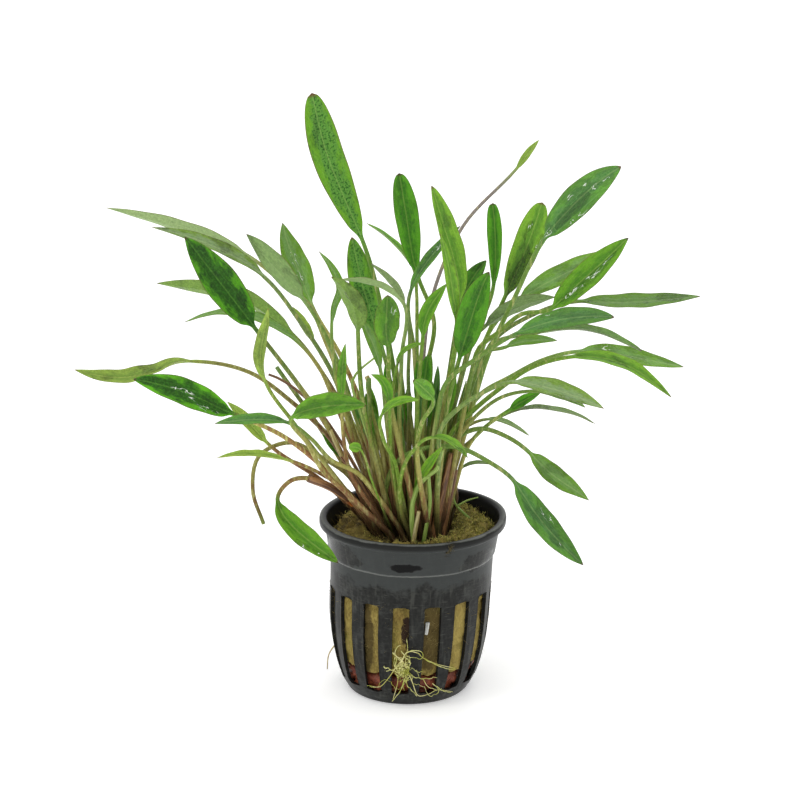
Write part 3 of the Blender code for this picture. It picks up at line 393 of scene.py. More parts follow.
# %% Leaf skin
def blade_grid(path, tip, fold, wave, seed):
    """Fine skin of one leaf: (rows, columns, 3) points, with its places across, along and above.

    A point is line + side * x + normal * y. On the stalk x and y run round a circle. On the blade x is a
    share of the lens-shaped half width and y is fold times |x|^1.25, a margin wave that grows with x^2,
    plus or minus half the thickness, with a groove and a rib at the middle.
    """
    middle, _, out, half, along, width = path
    length = np.concatenate([[0], np.cumsum(np.linalg.norm(np.diff(middle, axis=0), axis=1))])
    fine_along = fine_rows(width)
    fine = np.interp(fine_along, along, length)
    line = carried(middle, length, fine)
    line[:, 2] -= SINK * smooth_step(-fine, -6, 0)
    tangent = unit(np.gradient(line, axis=0))
    normal = carried(out, length, fine)
    normal = unit(normal - tangent * (normal * tangent).sum(axis=1, keepdims=True))
    side = np.cross(normal, tangent)

    place = np.clip(fine_along, 0, 1)
    shrink = (1 - place) ** 0.6 if width else np.ones_like(place)
    radius = np.interp(fine, length[along <= 0], half[along <= 0]) * shrink
    radius *= 1 + FOOT_SWELL * np.exp(-fine / FOOT_REACH)
    widened = lens(place, tip) * width / 2 if width else 0 * place
    wide = np.maximum((widened ** 3 + radius ** 3) ** (1 / 3), LEAST_HALF_WIDTH)
    flat = smooth_step(place, 0.0, ALL_BLADE)[:, None] if width else np.zeros((len(place), 1))

    share, angle, above = section_places()
    draw = np.random.default_rng(seed)
    turns = draw.uniform(2.2, 3.8)
    phase = draw.uniform(0, 2 * np.pi, 2)
    ripple = np.sin(2 * np.pi * turns * place[:, None] + np.where(share > 0, *phase))
    ripple = ripple * share ** 2 * np.sin(np.pi * place)[:, None] * wave * wide[:, None]
    x_blade = share * wide[:, None]
    y_blade = skin_heights(share, wide, place, flat, above)
    y_blade = y_blade + np.abs(share) ** 1.25 * fold * wide[:, None] + ripple
    x_stalk = np.cos(angle) * radius[:, None]
    y_stalk = np.sin(angle) * radius[:, None] * STALK_FLATNESS
    x = x_stalk + (x_blade - x_stalk) * flat
    y = y_stalk + (y_blade - y_stalk) * flat
    grid = line[:, None] + side[:, None] * x[..., None] + normal[:, None] * y[..., None]

    reach = fine - (np.interp(0, along, length) if width else 0)
    ones = np.ones_like(x)
    marks = {
        "blade_mm": np.stack([x, reach[:, None] * ones, seed * PATTERN_STEP * ones], axis=-1),
        "blade_share": np.stack([share * ones, fine_along[:, None] * ones, above * ones], axis=-1),
    }
    return grid, line, tangent, marks


print("the foot of a stalk is", 1 + FOOT_SWELL, "times as thick as the stalk")

# %% [markdown]
# ## One leaf as a mesh
# The grid closes round its columns, and each end closes with one extra point, a pole. Numbers that the
# material needs, such as how wet the leaf is, are kept at every point as attributes.

# %% Leaf mesh
POLE_REACH = 0.05


def tube_faces(rows, columns, start=0, poles=False):
    """Faces of a grid of rows that closes round its columns, with its ends closed.

    Row by row, point (r, c) is number start + r * columns + c. The ends close with flat faces, or, with
    poles, meet the two extra points that follow the grid: first the foot's, then the tip's.
    """
    number = start + np.arange(rows * columns).reshape(rows, columns)
    after = np.roll(number, -1, axis=1)
    walls = np.stack([number[:-1], after[:-1], after[1:], number[1:]], axis=-1).reshape(-1, 4)
    if not poles:
        return [walls, number[0][::-1][None], number[-1][None]]
    foot, tip = start + rows * columns, start + rows * columns + 1
    low = np.stack([after[0], number[0], np.full(columns, foot)], axis=-1)
    high = np.stack([number[-1], after[-1], np.full(columns, tip)], axis=-1)
    return [walls, low, high]


def glints_at(places, spots):
    """Wet spots: a soft round one for each (side, along, reach of both, strength); below 0 it is dark."""
    total = np.zeros(places.shape[:-1])
    for side, along, side_reach, along_reach, *strength in spots:
        away = ((places[..., 0] - side) / side_reach) ** 2 + ((places[..., 1] - along) / along_reach) ** 2
        spot = np.exp(-away) * (strength or [1.0])[0]
        total = np.where(np.abs(spot) > np.abs(total), spot, total)
    return total * (places[..., 2] > 0.4)


def leaf_piece(name, path, material, tip, fold, wave, seed, tone, wet, warm, glints=()):
    """One leaf as a closed mesh, with its marks for the material."""
    grid, line, tangent, marks = blade_grid(path, tip, fold, wave, seed)
    marks["glint"] = np.repeat(glints_at(marks["blade_share"], glints)[..., None], 3, axis=-1)
    rows, columns = grid.shape[:2]
    ends = np.array([line[0] - tangent[0] * POLE_REACH, line[-1] + tangent[-1] * POLE_REACH])
    points = np.vstack([grid.reshape(-1, 3), ends])
    pole = {key: np.vstack([value.reshape(-1, 3), value[0].mean(axis=0), value[-1].mean(axis=0)])
            for key, value in marks.items()}
    pole |= {"tone": np.full(len(points), tone), "wet": np.full(len(points), wet),
             "warm": np.full(len(points), warm)}
    leaf = piece(name, points, tube_faces(rows, columns, poles=True), material, **pole)
    return leaf


print("face lists of a grid with poles:", len(tube_faces(3, 4, poles=True)))

# %% [markdown]
# ## Patterns of a leaf
# Fine veins run along the real blade and meet at its tip, with a net of small ones between them. The
# stalks are browner the nearer they are to the crown, painted shade darkens them at the crown, and pale
# streaks on them are painted highlights. A picture of a leaf would be the quick way, but it blurs close
# up. Here each pattern is made of nodes, and reads its place on the leaf in millimetres, so that it
# bends with the leaf.

# %% Leaf patterns
STALK_OLIVE, STALK_RED, STALK_PAINTED_HIGHLIGHT, STALK_SHADED_FOOT = "#9a9650", "#886240", "#c4be7c", "#2a1d10"


def leaf_veins(tree, long, reach):
    """The net of small veins, with meshes about 1 mm wide, and the net with the long veins added.

    A long vein lies at each third of the half width, where the cosine of 6 pi times it is one.
    """
    net = add(tree, "TexVoronoi", {"Vector": long, "Scale": 0.9}, feature="DISTANCE_TO_EDGE")
    net = add(tree, "MapRange", {0: net, 1: 0.0, 2: 0.14, 3: 1.0, 4: 0.0})
    thirds = add(tree, "Math", {0: reach, 1: 6 * math.pi}, operation="MULTIPLY")
    thirds = add(tree, "Math", {0: thirds}, operation="COSINE")
    thirds = add(tree, "MapRange", {0: thirds, 1: 0.75, 2: 1.0}, **SOFT_STEP)
    lines = add(tree, "Math", {0: net, 1: 0.4}, operation="MULTIPLY")
    lines = add(tree, "Math", {0: thirds, 1: 0.5, 2: lines}, operation="MULTIPLY_ADD")
    return net, lines


def stalk_colour(tree, warm, upper_stalk):
    """The stalk: nearly black with painted shade at the crown, red-brown or olive above, green at the blade.
    """
    spot = add(tree, "TexCoord", {}, "Object")
    height = add(tree, "SeparateXYZ", {0: spot}, 2)
    streak = add(tree, "Mapping", {"Vector": spot, "Scale": (1100.0, 1100.0, 60.0)})
    streak = add(tree, "TexNoise", {"Vector": streak, "Scale": 1.0, "Detail": 3.0})
    climb = add(tree, "MapRange", {0: height, 1: 0.055, 2: 0.1, 3: 0.55, 4: -0.55})
    ruddy = add(tree, "Math", {0: streak, 1: 1.1, 2: warm}, operation="MULTIPLY_ADD")
    ruddy = add(tree, "Math", {0: ruddy, 1: climb}, operation="ADD")
    olive = add(tree, "MapRange", {0: ruddy, 1: 0.35, 2: 0.75}, **SOFT_STEP)
    red = add(tree, "MapRange", {0: ruddy, 1: 0.8, 2: 1.25}, **SOFT_STEP)
    # pale streaks stand for painted highlights along the stalks
    pale = add(tree, "MapRange", {0: streak, 1: 0.46, 2: 0.34})
    # painted shade among the stalks at the crown, over their own dark brown
    foot = add(tree, "MapRange", {0: height, 1: 0.064, 2: 0.049}, **SOFT_STEP)
    return layered(tree, linear(upper_stalk), ((olive, 1.0, STALK_OLIVE), (red, 1.0, STALK_RED),
                                               (pale, 0.6, STALK_PAINTED_HIGHLIGHT), (foot, 0.9, STALK_SHADED_FOOT)))


print("colours of the stalk:", STALK_OLIVE, STALK_RED, STALK_PAINTED_HIGHLIGHT, STALK_SHADED_FOOT)

# %% [markdown]
# ### Water and grain
# A film of water darkens a leaf and makes it glossy. Where it is thickest, white lines and drops are
# painted into the colour as painted highlights. Under it the tissue has a fine grain.

# %% Leaf water and grain
def wet_film(tree, long, wet, glint, blade):
    """A mask of the patches of the blade that have a film of water, more of them where it is marked."""
    film = add(tree, "TexNoise", {"Vector": long, "Scale": 0.28, "Detail": 2.0})
    film = add(tree, "Math", {0: wet, 1: 0.45, 2: film}, operation="MULTIPLY_ADD")
    wetter = add(tree, "Math", {0: glint}, operation="ABSOLUTE")
    film = add(tree, "Math", {0: wetter, 1: 0.6, 2: film}, operation="MULTIPLY_ADD")
    film = add(tree, "MapRange", {0: film, 1: 0.68, 2: 0.78}, **SOFT_STEP)
    return add(tree, "Math", {0: film, 1: blade}, operation="MULTIPLY")


def leaf_brightness(tree, tone, film, glint, margin, grain):
    """One, plus the leaf's own tone and its grain, less where it is wet and at the margin."""
    bright = add(tree, "Math", {0: tone, 1: 0.4, 2: 1.0}, operation="MULTIPLY_ADD")
    bright = add(tree, "Math", {0: film, 1: -0.3, 2: bright}, operation="MULTIPLY_ADD")
    deepest = add(tree, "MapRange", {0: glint, 1: 0.0, 2: -0.4, 3: 0.0, 4: -0.4})
    bright = add(tree, "Math", {0: deepest, 1: bright}, operation="ADD")
    bright = add(tree, "Math", {0: margin, 1: -0.225, 2: bright}, operation="MULTIPLY_ADD")
    return add(tree, "Math", {0: grain, 1: 0.9, 2: bright}, operation="MULTIPLY_ADD")


def painted_glint_lines(tree, place, glint):
    """Painted highlights where the film of water is thickest: thin white lines along the blade, and small
    drops.

    A line is drawn where a slow noise passes one half.
    """
    drawn_out = add(tree, "Mapping", {"Vector": place, "Scale": (1.0, 0.25, 1.0)})
    edge = add(tree, "TexNoise", {"Vector": drawn_out, "Scale": 0.8, "Detail": 1.5})
    edge = add(tree, "Math", {0: edge, 1: 3.0}, operation="MULTIPLY")
    edge = add(tree, "Math", {0: edge}, operation="FRACT")
    edge = add(tree, "Math", {0: edge, 1: 0.5}, operation="SUBTRACT")
    edge = add(tree, "Math", {0: edge}, operation="ABSOLUTE")
    edge = add(tree, "MapRange", {0: edge, 1: 0.02, 2: 0.07, 3: 1.0, 4: 0.0})
    drop = add(tree, "TexNoise", {"Vector": place, "Scale": 1.1, "Detail": 2.0, "Roughness": 0.6})
    drop = add(tree, "MapRange", {0: drop, 1: 0.63, 2: 0.67})
    edge = add(tree, "Math", {0: edge, 1: drop}, operation="MAXIMUM")
    soaked = add(tree, "MapRange", {0: glint, 1: 0.5, 2: 0.8}, **SOFT_STEP)
    return add(tree, "Math", {0: edge, 1: soaked}, operation="MULTIPLY")


def leaf_grain(tree, place):
    """Streaks 0.3 mm wide along the blade plus flecks of half a millimetre, about zero on average."""
    streaks = add(tree, "Mapping", {"Vector": place, "Scale": (3.4, 0.7, 1.0)})
    streaks = add(tree, "TexNoise", {"Vector": streaks, "Scale": 1.0, "Detail": 3.0, "Roughness": 0.7})
    flecks = add(tree, "TexNoise", {"Vector": place, "Scale": 1.7, "Detail": 3.0, "Roughness": 0.7})
    grain = add(tree, "Math", {0: streaks, 1: flecks}, operation="ADD")
    return add(tree, "Math", {0: grain, 1: 1.0}, operation="SUBTRACT")


LEAF_MARKS = ("tone", "wet", "warm", "glint")
print("marks of each leaf that its finish reads:", LEAF_MARKS)

# %% [markdown]
# ## The leaf's finish
# A living leaf has a waxy skin over green tissue. Its upper side is darker and glossier than its
# underside. Some leaves are mottled, some have a thin brown margin or a dry tip, and some are wet,
# which makes them dark and glossy in patches. The colours go over each other from the inside outward.

# %% Leaf finish
def leaf_paint(tree, centre, flank, under, light, rim, tip, speckle, strength, half, mottle, upper_stalk):
    """Living leaf: centre band, brighter flanks, speckles, small veins, wet patches by a mark with painted
    highlights.
    """
    place = add(tree, "Attribute", {}, "Vector", attribute_name="blade_mm")
    share = add(tree, "Attribute", {}, "Vector", attribute_name="blade_share")
    tone, wet, warm, glint = (add(tree, "Attribute", {}, "Fac", attribute_name=mark) for mark in LEAF_MARKS)
    across = add(tree, "SeparateXYZ", {0: share}, 0)
    along, above = across.node.outputs[1], across.node.outputs[2]
    reach = add(tree, "Math", {0: across}, operation="ABSOLUTE")
    long = add(tree, "Mapping", {"Vector": place, "Scale": (1.0, 0.4, 1.0)})
    cloud = add(tree, "TexNoise", {"Vector": long, "Scale": 0.5, "Detail": 5.0, "Roughness": 0.65})

    # the centre band fills `half` of the half width, and its edge wanders with blotches of 2 to 4 mm
    band = add(tree, "Math", {0: cloud, 1: mottle, 2: reach}, operation="MULTIPLY_ADD")
    low = half + mottle / 2 - 0.25
    band = add(tree, "MapRange", {0: band, 1: low, 2: low + 0.5}, **SOFT_STEP)
    colour = add(tree, "Mix", {0: band, 6: linear(centre), 7: linear(flank)}, 2, data_type="RGBA")

    # speckles 0.4 mm wide, in the inner two thirds of the blade
    dots = add(tree, "TexNoise", {"Vector": place, "Scale": 1.7, "Detail": 2.0})
    dots = add(tree, "MapRange", {0: dots, 1: 0.5, 2: 0.59}, **SOFT_STEP)
    inner = add(tree, "MapRange", {0: band, 3: strength, 4: 0.15 * strength})
    dots = add(tree, "Math", {0: dots, 1: inner}, operation="MULTIPLY")
    net, lines = leaf_veins(tree, long, reach)

    # the midrib, 0.4 mm wide
    middle = add(tree, "SeparateXYZ", {0: place}, 0)
    middle = add(tree, "Math", {0: middle}, operation="ABSOLUTE")
    middle = add(tree, "MapRange", {0: middle, 1: 0.3, 2: 0.08}, **SOFT_STEP)
    colour = layered(tree, colour, ((dots, 1.0, speckle), (lines, 0.22, light), (middle, 0.35, light)))

    # the paler underside, with its veins in ridges
    ridges = add(tree, "Math", {0: lines, 1: 0.45}, operation="MULTIPLY")
    below = add(tree, "Mix", {0: ridges, 6: linear(under), 7: linear(light)}, 2, data_type="RGBA")
    shaded = add(tree, "MapRange", {0: cloud, 1: 0.35, 2: 0.65, 3: 0.35, 4: 0.0})
    below = add(tree, "Mix", {0: shaded, 6: below, 7: linear(centre)}, 2, data_type="RGBA")
    colour = add(tree, "Mix", {0: above, 6: below, 7: colour}, 2, data_type="RGBA")

    grain = leaf_grain(tree, place)

    # a thin margin and the tip
    margin = add(tree, "MapRange", {0: reach, 1: 0.9, 2: 0.99}, **SOFT_STEP)
    end = add(tree, "MapRange", {0: along, 1: 0.962, 2: 0.995}, **SOFT_STEP)
    colour = layered(tree, colour, ((margin, 0.75, rim), (end, 1.0, tip)))

    # the blade's colours end where the stalk begins
    stalk = stalk_colour(tree, warm, upper_stalk)
    blade = add(tree, "MapRange", {0: along, 1: -0.1, 2: 0.06}, **SOFT_STEP)
    colour = add(tree, "Mix", {0: blade, 6: stalk, 7: colour}, 2, data_type="RGBA")

    film = wet_film(tree, long, wet, glint, blade)
    bright = leaf_brightness(tree, tone, film, glint, margin, grain)
    colour = add(tree, "HueSaturation", {"Value": bright, "Color": colour})

    # painted highlights: white lines and drops mixed into the base colour on wet patches
    edge = painted_glint_lines(tree, place, glint)
    colour = add(tree, "Mix", {0: edge, 6: colour, 7: linear("#e8f0e4")}, 2, data_type="RGBA")
    rough = add(tree, "MapRange", {0: film, 3: 0.45, 4: 0.12})
    rough = add(tree, "Math", {0: net, 1: 0.06, 2: rough}, operation="MULTIPLY_ADD")

    relief = add(tree, "Math", {0: lines, 1: 0.5, 2: grain}, operation="MULTIPLY_ADD")
    relief = add(tree, "Math", {0: edge, 1: 0.8, 2: relief}, operation="MULTIPLY_ADD")
    normal = add(tree, "Bump", {"Height": relief, "Strength": 0.5, "Distance": 0.0003})
    return {"Base Color": colour, "Roughness": rough, "Normal": normal, "Specular IOR Level": 0.2}


print("attributes that a leaf's finish reads:", 2 + len(LEAF_MARKS))

# %% [markdown]
# ### Ten kinds of leaf
# The leaves differ with age and light, from yellow-green to a deep, mottled green. Each kind is one row
# of values for the same finish.

# %% Kinds of leaf
LEAF_FINISHES = {
    # centre band, flanks, underside, veins, margin, tip, speckles, how strong the speckles are, how wide
    # the band is and how ragged, stalk
    "fresh": ("#4c841a", "#629a1e", "#789a50", "#90ae52", "#7f8c3c", "#5c4a2c", "#2f6114", 0.4, 0.45, 1.8,
              "#6e8c34"),
    "speckled": ("#5a9436", "#68a220", "#789a50", "#92ba5c", "#857a40", "#6a4a30", "#265a12", 1.0, 0.6, 1.8,
                 "#61852f"),
    "bright": ("#5f942a", "#7aae2e", "#86a850", "#a2c258", "#8c9a40", "#6a5a2c", "#3f741a", 0.35, 0.45, 1.8,
               "#779b36"),
    "deep": ("#347010", "#4c8e16", "#648a3c", "#7a9c44", "#6c7a30", "#4a3c24", "#1f4a10", 0.55, 0.45, 1.8,
             "#688734"),
    "patched": ("#214f08", "#529a14", "#5f823c", "#5c9034", "#6c7438", "#4a3c24", "#2f661a", 0.5, 0.68, 2.3,
                "#5c7934"),
    "blue_green": ("#4e7c3e", "#558a30", "#6e8e52", "#8aaa64", "#74844c", "#5a3c28", "#316424", 0.6, 0.5, 1.8,
                   "#67853a"),
    "grey_green": ("#70984f", "#649128", "#7e9a5e", "#9cb670", "#848a4c", "#5c4a2c", "#46702e", 0.4, 0.5, 2.2,
                   "#708c3f"),
    "pale": ("#8ca870", "#789c3a", "#8fa86c", "#b4c68a", "#8c8c5a", "#7c6a40", "#648850", 0.35, 0.5, 2.2,
             "#79944d"),
    "yellow_green": ("#82a444", "#96b44a", "#98b052", "#bac864", "#a8a450", "#8c7c40", "#6a8c34", 0.3, 0.4,
                     1.8, "#7e993a"),
    "violet_stalked": ("#7a9a3c", "#84a43c", "#8ca85a", "#a4bc60", "#a8a450", "#7c9040", "#5a8030", 0.3, 0.4,
                       1.5, "#8a8078"),
}
leaf_materials = {name: finish("leaf_" + name, leaf_paint, *row) for name, row in LEAF_FINISHES.items()}
print("leaf finishes:", len(leaf_materials))

# %% [markdown]
# ## All the leaves
# One row for each leaf: its finish, a tone from darker to lighter, how wet it is, the shape of its tip
# (small is blunt), its fold and its margin wave. The order of the rows is the order of the solids.

# %% Leaf table
LEAVES = {
    "left_01": ("pale", 0.1, 0.2, 1.0, 0.45, 0.1),
    "left_02": ("pale", -0.4, 0.3, 1.0, 0.45, 0.08),
    "left_03": ("patched", 0.0, 0.3, 0.85, 0.2, 0.05),
    "left_04": ("bright", -0.4, 0.2, 0.9, 0.4, 0.08),
    "left_05": ("grey_green", 0.15, 0.2, 1.0, 0.3, 0.1),
    "left_06": ("yellow_green", -0.45, 0.3, 0.9, 0.4, 0.12),
    "left_07": ("patched", 1.0, 0.5, 0.8, 0.15, 0.06),
    "left_08": ("yellow_green", 0.3, 0.2, 0.9, 0.3, 0.1),
    "left_09": ("blue_green", 0.45, 0.3, 0.9, 0.3, 0.08),
    "left_10": ("fresh", 0.3, 0.5, 0.9, 0.3, 0.06),
    "left_11": ("yellow_green", 0.6, 0.2, 1.0, 0.45, 0.08),
    "left_12": ("yellow_green", 0.05, 0.4, 0.9, 0.45, 0.1),
    "left_13": ("grey_green", 0.15, 0.3, 0.9, 0.2, 0.06),
    "left_14": ("yellow_green", 0.15, 0.2, 0.9, 0.3, 0.06),
    "left_15": ("grey_green", 0.75, 0.5, 0.9, 0.2, 0.06),
    "left_16": ("fresh", 0.2, 0.2, 0.9, 0.3, 0.06),
    "left_17": ("fresh", 0.14, 0.4, 0.8, 0.25, 0.08),
    "middle_01": ("speckled", 0.0, 0.3, 0.5, 0.12, 0.04),
    "middle_02": ("speckled", 0.03, 0.3, 0.7, 0.2, 0.05),
    "middle_03": ("deep", 0.55, 0.3, 0.5, 0.2, 0.04),
    "middle_04": ("fresh", 0.4, 0.2, 0.9, 0.3, 0.06),
    "middle_05": ("bright", 0.1, 0.3, 0.7, 0.45, 0.05),
    "middle_06": ("bright", -0.1, 0.2, 0.9, 0.3, 0.05),
    "middle_07": ("blue_green", 0.25, 0.55, 0.8, 0.25, 0.06),
    "middle_08": ("violet_stalked", 0.0, 0.2, 0.9, 0.3, 0.05),
    "middle_09": ("grey_green", 0.45, 0.1, 0.9, 0.45, 0.08),
    "middle_10": ("pale", 0.4, 0.3, 0.9, 0.3, 0.06),
    "middle_11": ("bright", -0.55, 0.3, 0.9, 0.25, 0.06),
    "middle_12": ("fresh", 0.0, 0.6, 0.6, 0.3, 0.12),
    "middle_13": ("fresh", 0.15, 0.3, 0.9, 0.3, 0.06),
    "middle_14": ("bright", 0.15, 0.3, 0.9, 0.3, 0.05),
    "middle_15": ("fresh", 0.25, 0.3, 0.7, 0.2, 0.04),
    "middle_16": ("fresh", 0.45, 0.3, 0.9, 0.3, 0.06),
    "middle_17": ("bright", -0.2, 0.3, 0.9, 0.35, 0.05),
    "middle_18": ("bright", 0.3, 0.2, 0.9, 0.3, 0.05),
    "right_01": ("deep", 0.65, 0.3, 0.4, 0.25, 0.04),
    "right_02": ("bright", 0.0, 0.1, 0.5, 0.15, 0.04),
    "right_03": ("blue_green", 0.65, 0.35, 0.75, 0.12, 0.04),
    "right_04": ("grey_green", 0.5, 0.4, 0.8, 0.2, 0.05),
    "right_05": ("fresh", 0.08, 0.3, 0.85, 0.2, 0.04),
    "right_06": ("grey_green", -0.4, 0.3, 0.9, 0.2, 0.06),
    "right_07": ("grey_green", -0.35, 0.2, 0.9, 0.2, 0.05),
    "right_08": ("blue_green", 0.35, 0.6, 0.75, 0.15, 0.05),
    "right_09": ("grey_green", -0.1, 0.4, 0.6, 0.4, 0.05),
    "right_10": ("grey_green", 0.0, 0.3, 0.9, 0.3, 0.05),
    "right_11": ("grey_green", 0.6, 0.55, 0.9, 0.2, 0.06),
    "right_12": ("bright", -0.2, 0.3, 0.9, 0.3, 0.06),
    "right_13": ("pale", -0.05, 0.3, 0.9, 0.35, 0.05),
    "right_14": ("deep", 0.7, 0.4, 0.9, 0.3, 0.05),
    "right_15": ("pale", -0.4, 0.3, 0.9, 0.3, 0.06),
    "right_16": ("grey_green", 0.15, 0.4, 1.0, 0.25, 0.06),
    "right_17": ("blue_green", 0.15, 0.5, 0.85, 0.2, 0.06),
    "right_18": ("deep", -0.3, 0.4, 0.8, 0.25, 0.05),
    "right_19": ("deep", 0.15, 0.3, 0.75, 0.2, 0.04),
}
print("leaves in the table:", len(LEAVES))

# %% [markdown]
# ### What single leaves have
# The stalks on the left are redder than those on the right, and seven are plain green.

# %% Leaves
WARMTH = {"left": 0.35, "middle": 0.0, "right": -0.15}
GREEN_STALKS = ("middle_05", "middle_14", "middle_16", "middle_17", "middle_18", "right_12", "right_17")
GLINTS = {
    # side of the blade (to the left of its direction is positive), place along it, reach of both, and
    # how strong: a negative one is dark and has no glints
    "left_07": ((0.0, 0.5, 0.5, 0.3, -0.3), (-0.1, 0.55, 0.2, 0.17), (0.6, 0.27, 0.3, 0.16),
                (0.25, 0.42, 0.15, 0.1)),
    "left_15": ((0.0, 0.58, 0.45, 0.17), (0.1, 0.35, 0.35, 0.1)),
    "left_17": ((-0.75, 0.6, 0.25, 0.07), (-0.6, 0.76, 0.2, 0.05)),
    "middle_07": ((0.0, 0.6, 0.8, 0.25, 0.75),),
    "middle_12": ((-0.55, 0.72, 0.4, 0.14, 0.9),),
    "right_02": ((-0.3, 0.28, 1.0, 0.3, -0.7), (-0.7, 0.62, 0.25, 0.09), (0.3, 0.75, 0.2, 0.05)),
    "right_03": ((-0.3, 0.4, 0.5, 0.4, -0.35), (0.5, 0.62, 0.22, 0.06), (0.48, 0.46, 0.22, 0.06),
                 (-0.1, 0.7, 0.25, 0.06), (-0.3, 0.82, 0.3, 0.07), (0.2, 0.08, 0.9, 0.07),
                 (-0.8, 0.4, 0.2, 0.2)),
    "right_05": ((-0.3, 0.45, 0.4, 0.35, -0.35), (-0.15, 0.25, 0.25, 0.15), (-0.3, 0.5, 0.3, 0.2),
                 (-0.25, 0.72, 0.2, 0.1)),
    "right_08": ((-0.4, 0.8, 0.3, 0.08), (0.7, 0.4, 0.2, 0.1)),
    "right_11": ((0.5, 0.27, 0.4, 0.06),),
    "right_17": ((0.55, 0.45, 0.3, 0.14), (-0.2, 0.7, 0.2, 0.06)),
}

draw = np.random.default_rng(9)
for seed, (which, (kind, tone, wet, tip, fold, wave)) in enumerate(LEAVES.items()):
    name = "leaf_" + which
    path = path_of(leaf_rings(name), True)
    warm = WARMTH[which.split("_")[0]] + draw.uniform(-0.35, 0.35)
    warm = -0.45 if which in GREEN_STALKS else warm
    fine_leaf = leaf_piece(name + "_skin", path, leaf_materials[kind], tip, fold, wave, seed, tone, wet,
                           warm, GLINTS.get(which, ()))
    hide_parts(name)
print("leaves dressed:", len(LEAVES))

# %% [markdown]
# ## The crown and its young shoots
# Under the leaves sits a short rootstock. Stubs, bare stalks and young leaves grow from it, and in the
# solid they are one body with it. Here the rootstock is a lumpy mound, and each shoot gets the same
# skin as a leaf. A shoot is found as the chain of rings that starts where it leaves the mound.

# %% Shoots of the crown
SHOOTS = {
    # name: where its tip is drawn (across, up), then the same values as for a leaf
    "bare_stalk_left": (-43, 46.6, "yellow_green", -0.5, 0.1, 0.9, 0.3, 0.0),
    "cut_stalk_left": (-38.7, 93.7, "grey_green", -0.3, 0.1, 0.9, 0.3, 0.0),
    "cut_stalk_middle": (-12.5, 90.3, "grey_green", -0.3, 0.1, 0.9, 0.3, 0.0),
    "young_leaf_01": (-11.8, 124, "pale", -0.4, 0.2, 0.9, 0.3, 0.05),
    "young_leaf_02": (3.4, 100.9, "bright", -0.3, 0.2, 0.9, 0.3, 0.05),
    "young_leaf_03": (-15.4, 109.2, "grey_green", 0.1, 0.2, 0.9, 0.3, 0.05),
    "young_leaf_04": (4.1, 97.5, "deep", 0.1, 0.2, 0.9, 0.25, 0.05),
    "young_leaf_05": (49, 81.8, "grey_green", 0.0, 0.3, 0.9, 0.3, 0.05),
    "young_leaf_06": (33.2, 73.4, "pale", -0.1, 0.2, 0.9, 0.3, 0.05),
    "young_leaf_07": (22.8, 64.8, "pale", -0.4, 0.2, 0.9, 0.3, 0.05),
}
crown_points, crown_pairs = merged("crown")
raised = crown_points[:, 2] > CROWN_TOP + 0.01


def shoot_from(tip):
    """Rings of one shoot, from the mound to its tip: read from the tip down, where every ring is whole.

    The lowest ring is the last whole one, carried on along the shoot's line to the mound's top.
    """
    nearest = np.argsort(np.linalg.norm(crown_points - tip, axis=1))[:RING_POINTS]
    rings = rings_from(crown_points, crown_pairs, nearest)
    whole = []
    for ring in rings:
        if len(ring) != RING_POINTS or not raised[ring].all():
            break
        whole.insert(0, crown_points[ring])
    first = whole[0].mean(axis=0)
    on_mound = rings[len(whole)][crown_points[rings[len(whole)], 2] > CROWN_TOP - 1.6]
    foot = crown_points[on_mound].mean(axis=0)
    return [whole[0] + foot - first] + whole


def tip_of(across, up):
    """The solid's point that is drawn at this place of the drawing plane, at whatever depth it stands."""
    on_sight = np.array([drawn(across, up, depth) for depth in crown_points[:, 1]])
    return crown_points[np.argmin(np.linalg.norm((on_sight - crown_points)[:, (0, 2)], axis=1))]


made = []
for name, (across, up, kind, tone, wet, tip, fold, wave) in SHOOTS.items():
    rings = shoot_from(tip_of(across, up))
    path = path_of(rings, "stalk" not in name)
    leaf_piece(name, path, leaf_materials[kind], tip, fold, wave, 60 + len(made), tone, wet, 0.1)
    made.append((name, len(rings)))
print("shoots:", made)

# %% [markdown]
# ## The pot
# A small net pot, moulded thin in dark plastic: a collar with a rolled lip, a step below it, and sixteen
# slots that leave slim ribs. It could be turned and then cut, but the cuts leave poor faces. So
# the wall is two sheets of one grid, outside and inside. The grid's columns run along the slots' edges,
# the cells of the slots are left out, and each open edge is closed from sheet to sheet.

# %% Pot measures
POT_HEIGHT = 52.0
WALL = 0.9
SLOT_COUNT = 16
SLOT_FIRST = -7.1
SLOT_HALF = 2.49
SLOT_TOP = 32.0
SLOT_BOTTOM = 4.2
SLIT_HALF = 0.9
SLIT_INNER, SLIT_OUTER = 6.5, 12.5
STEP_HEIGHT = 41.3
BODY_HEIGHTS = (0.0, 0.6, 2.4, 5.5, 9.6, 15.0, 22.0, 32.0, 41.3)
BODY_RADII = (16.8, 17.7, 18.9, 20.2, 21.4, 22.4, 23.1, 23.4, 23.7)


def body_radius(height):
    """Outer radius of the pot's body: straight between the measured heights, averaged over 2 mm."""
    return sum(np.interp(np.asarray(height) + step, BODY_HEIGHTS, BODY_RADII) for step in (-1, 0, 1)) / 3


def sheared(points):
    """The soft pot leans: points move to the right in proportion to their height."""
    return points + points[..., 2:3] / POT_HEIGHT * (RIM_SHIFT, 0, 0)


def round_axis(angle, radius, height):
    """Points at angles in degrees from the front, seen from above and turning to the right."""
    turn = np.radians(angle)
    radius, height = np.broadcast_arrays(radius * np.ones_like(turn), height * np.ones_like(turn))[:2]
    return np.stack([np.sin(turn) * radius, -np.cos(turn) * radius, height], axis=-1)


print("the collar stands out", round(24.45 - float(body_radius(STEP_HEIGHT)), 2), "mm over the body")

# %% [markdown]
# ### The grid of the wall
# A row is one ring of the pot, with a radius and a height outside and inside. The columns bend from row
# to row, so that each slot keeps its width while the pot narrows to its foot.

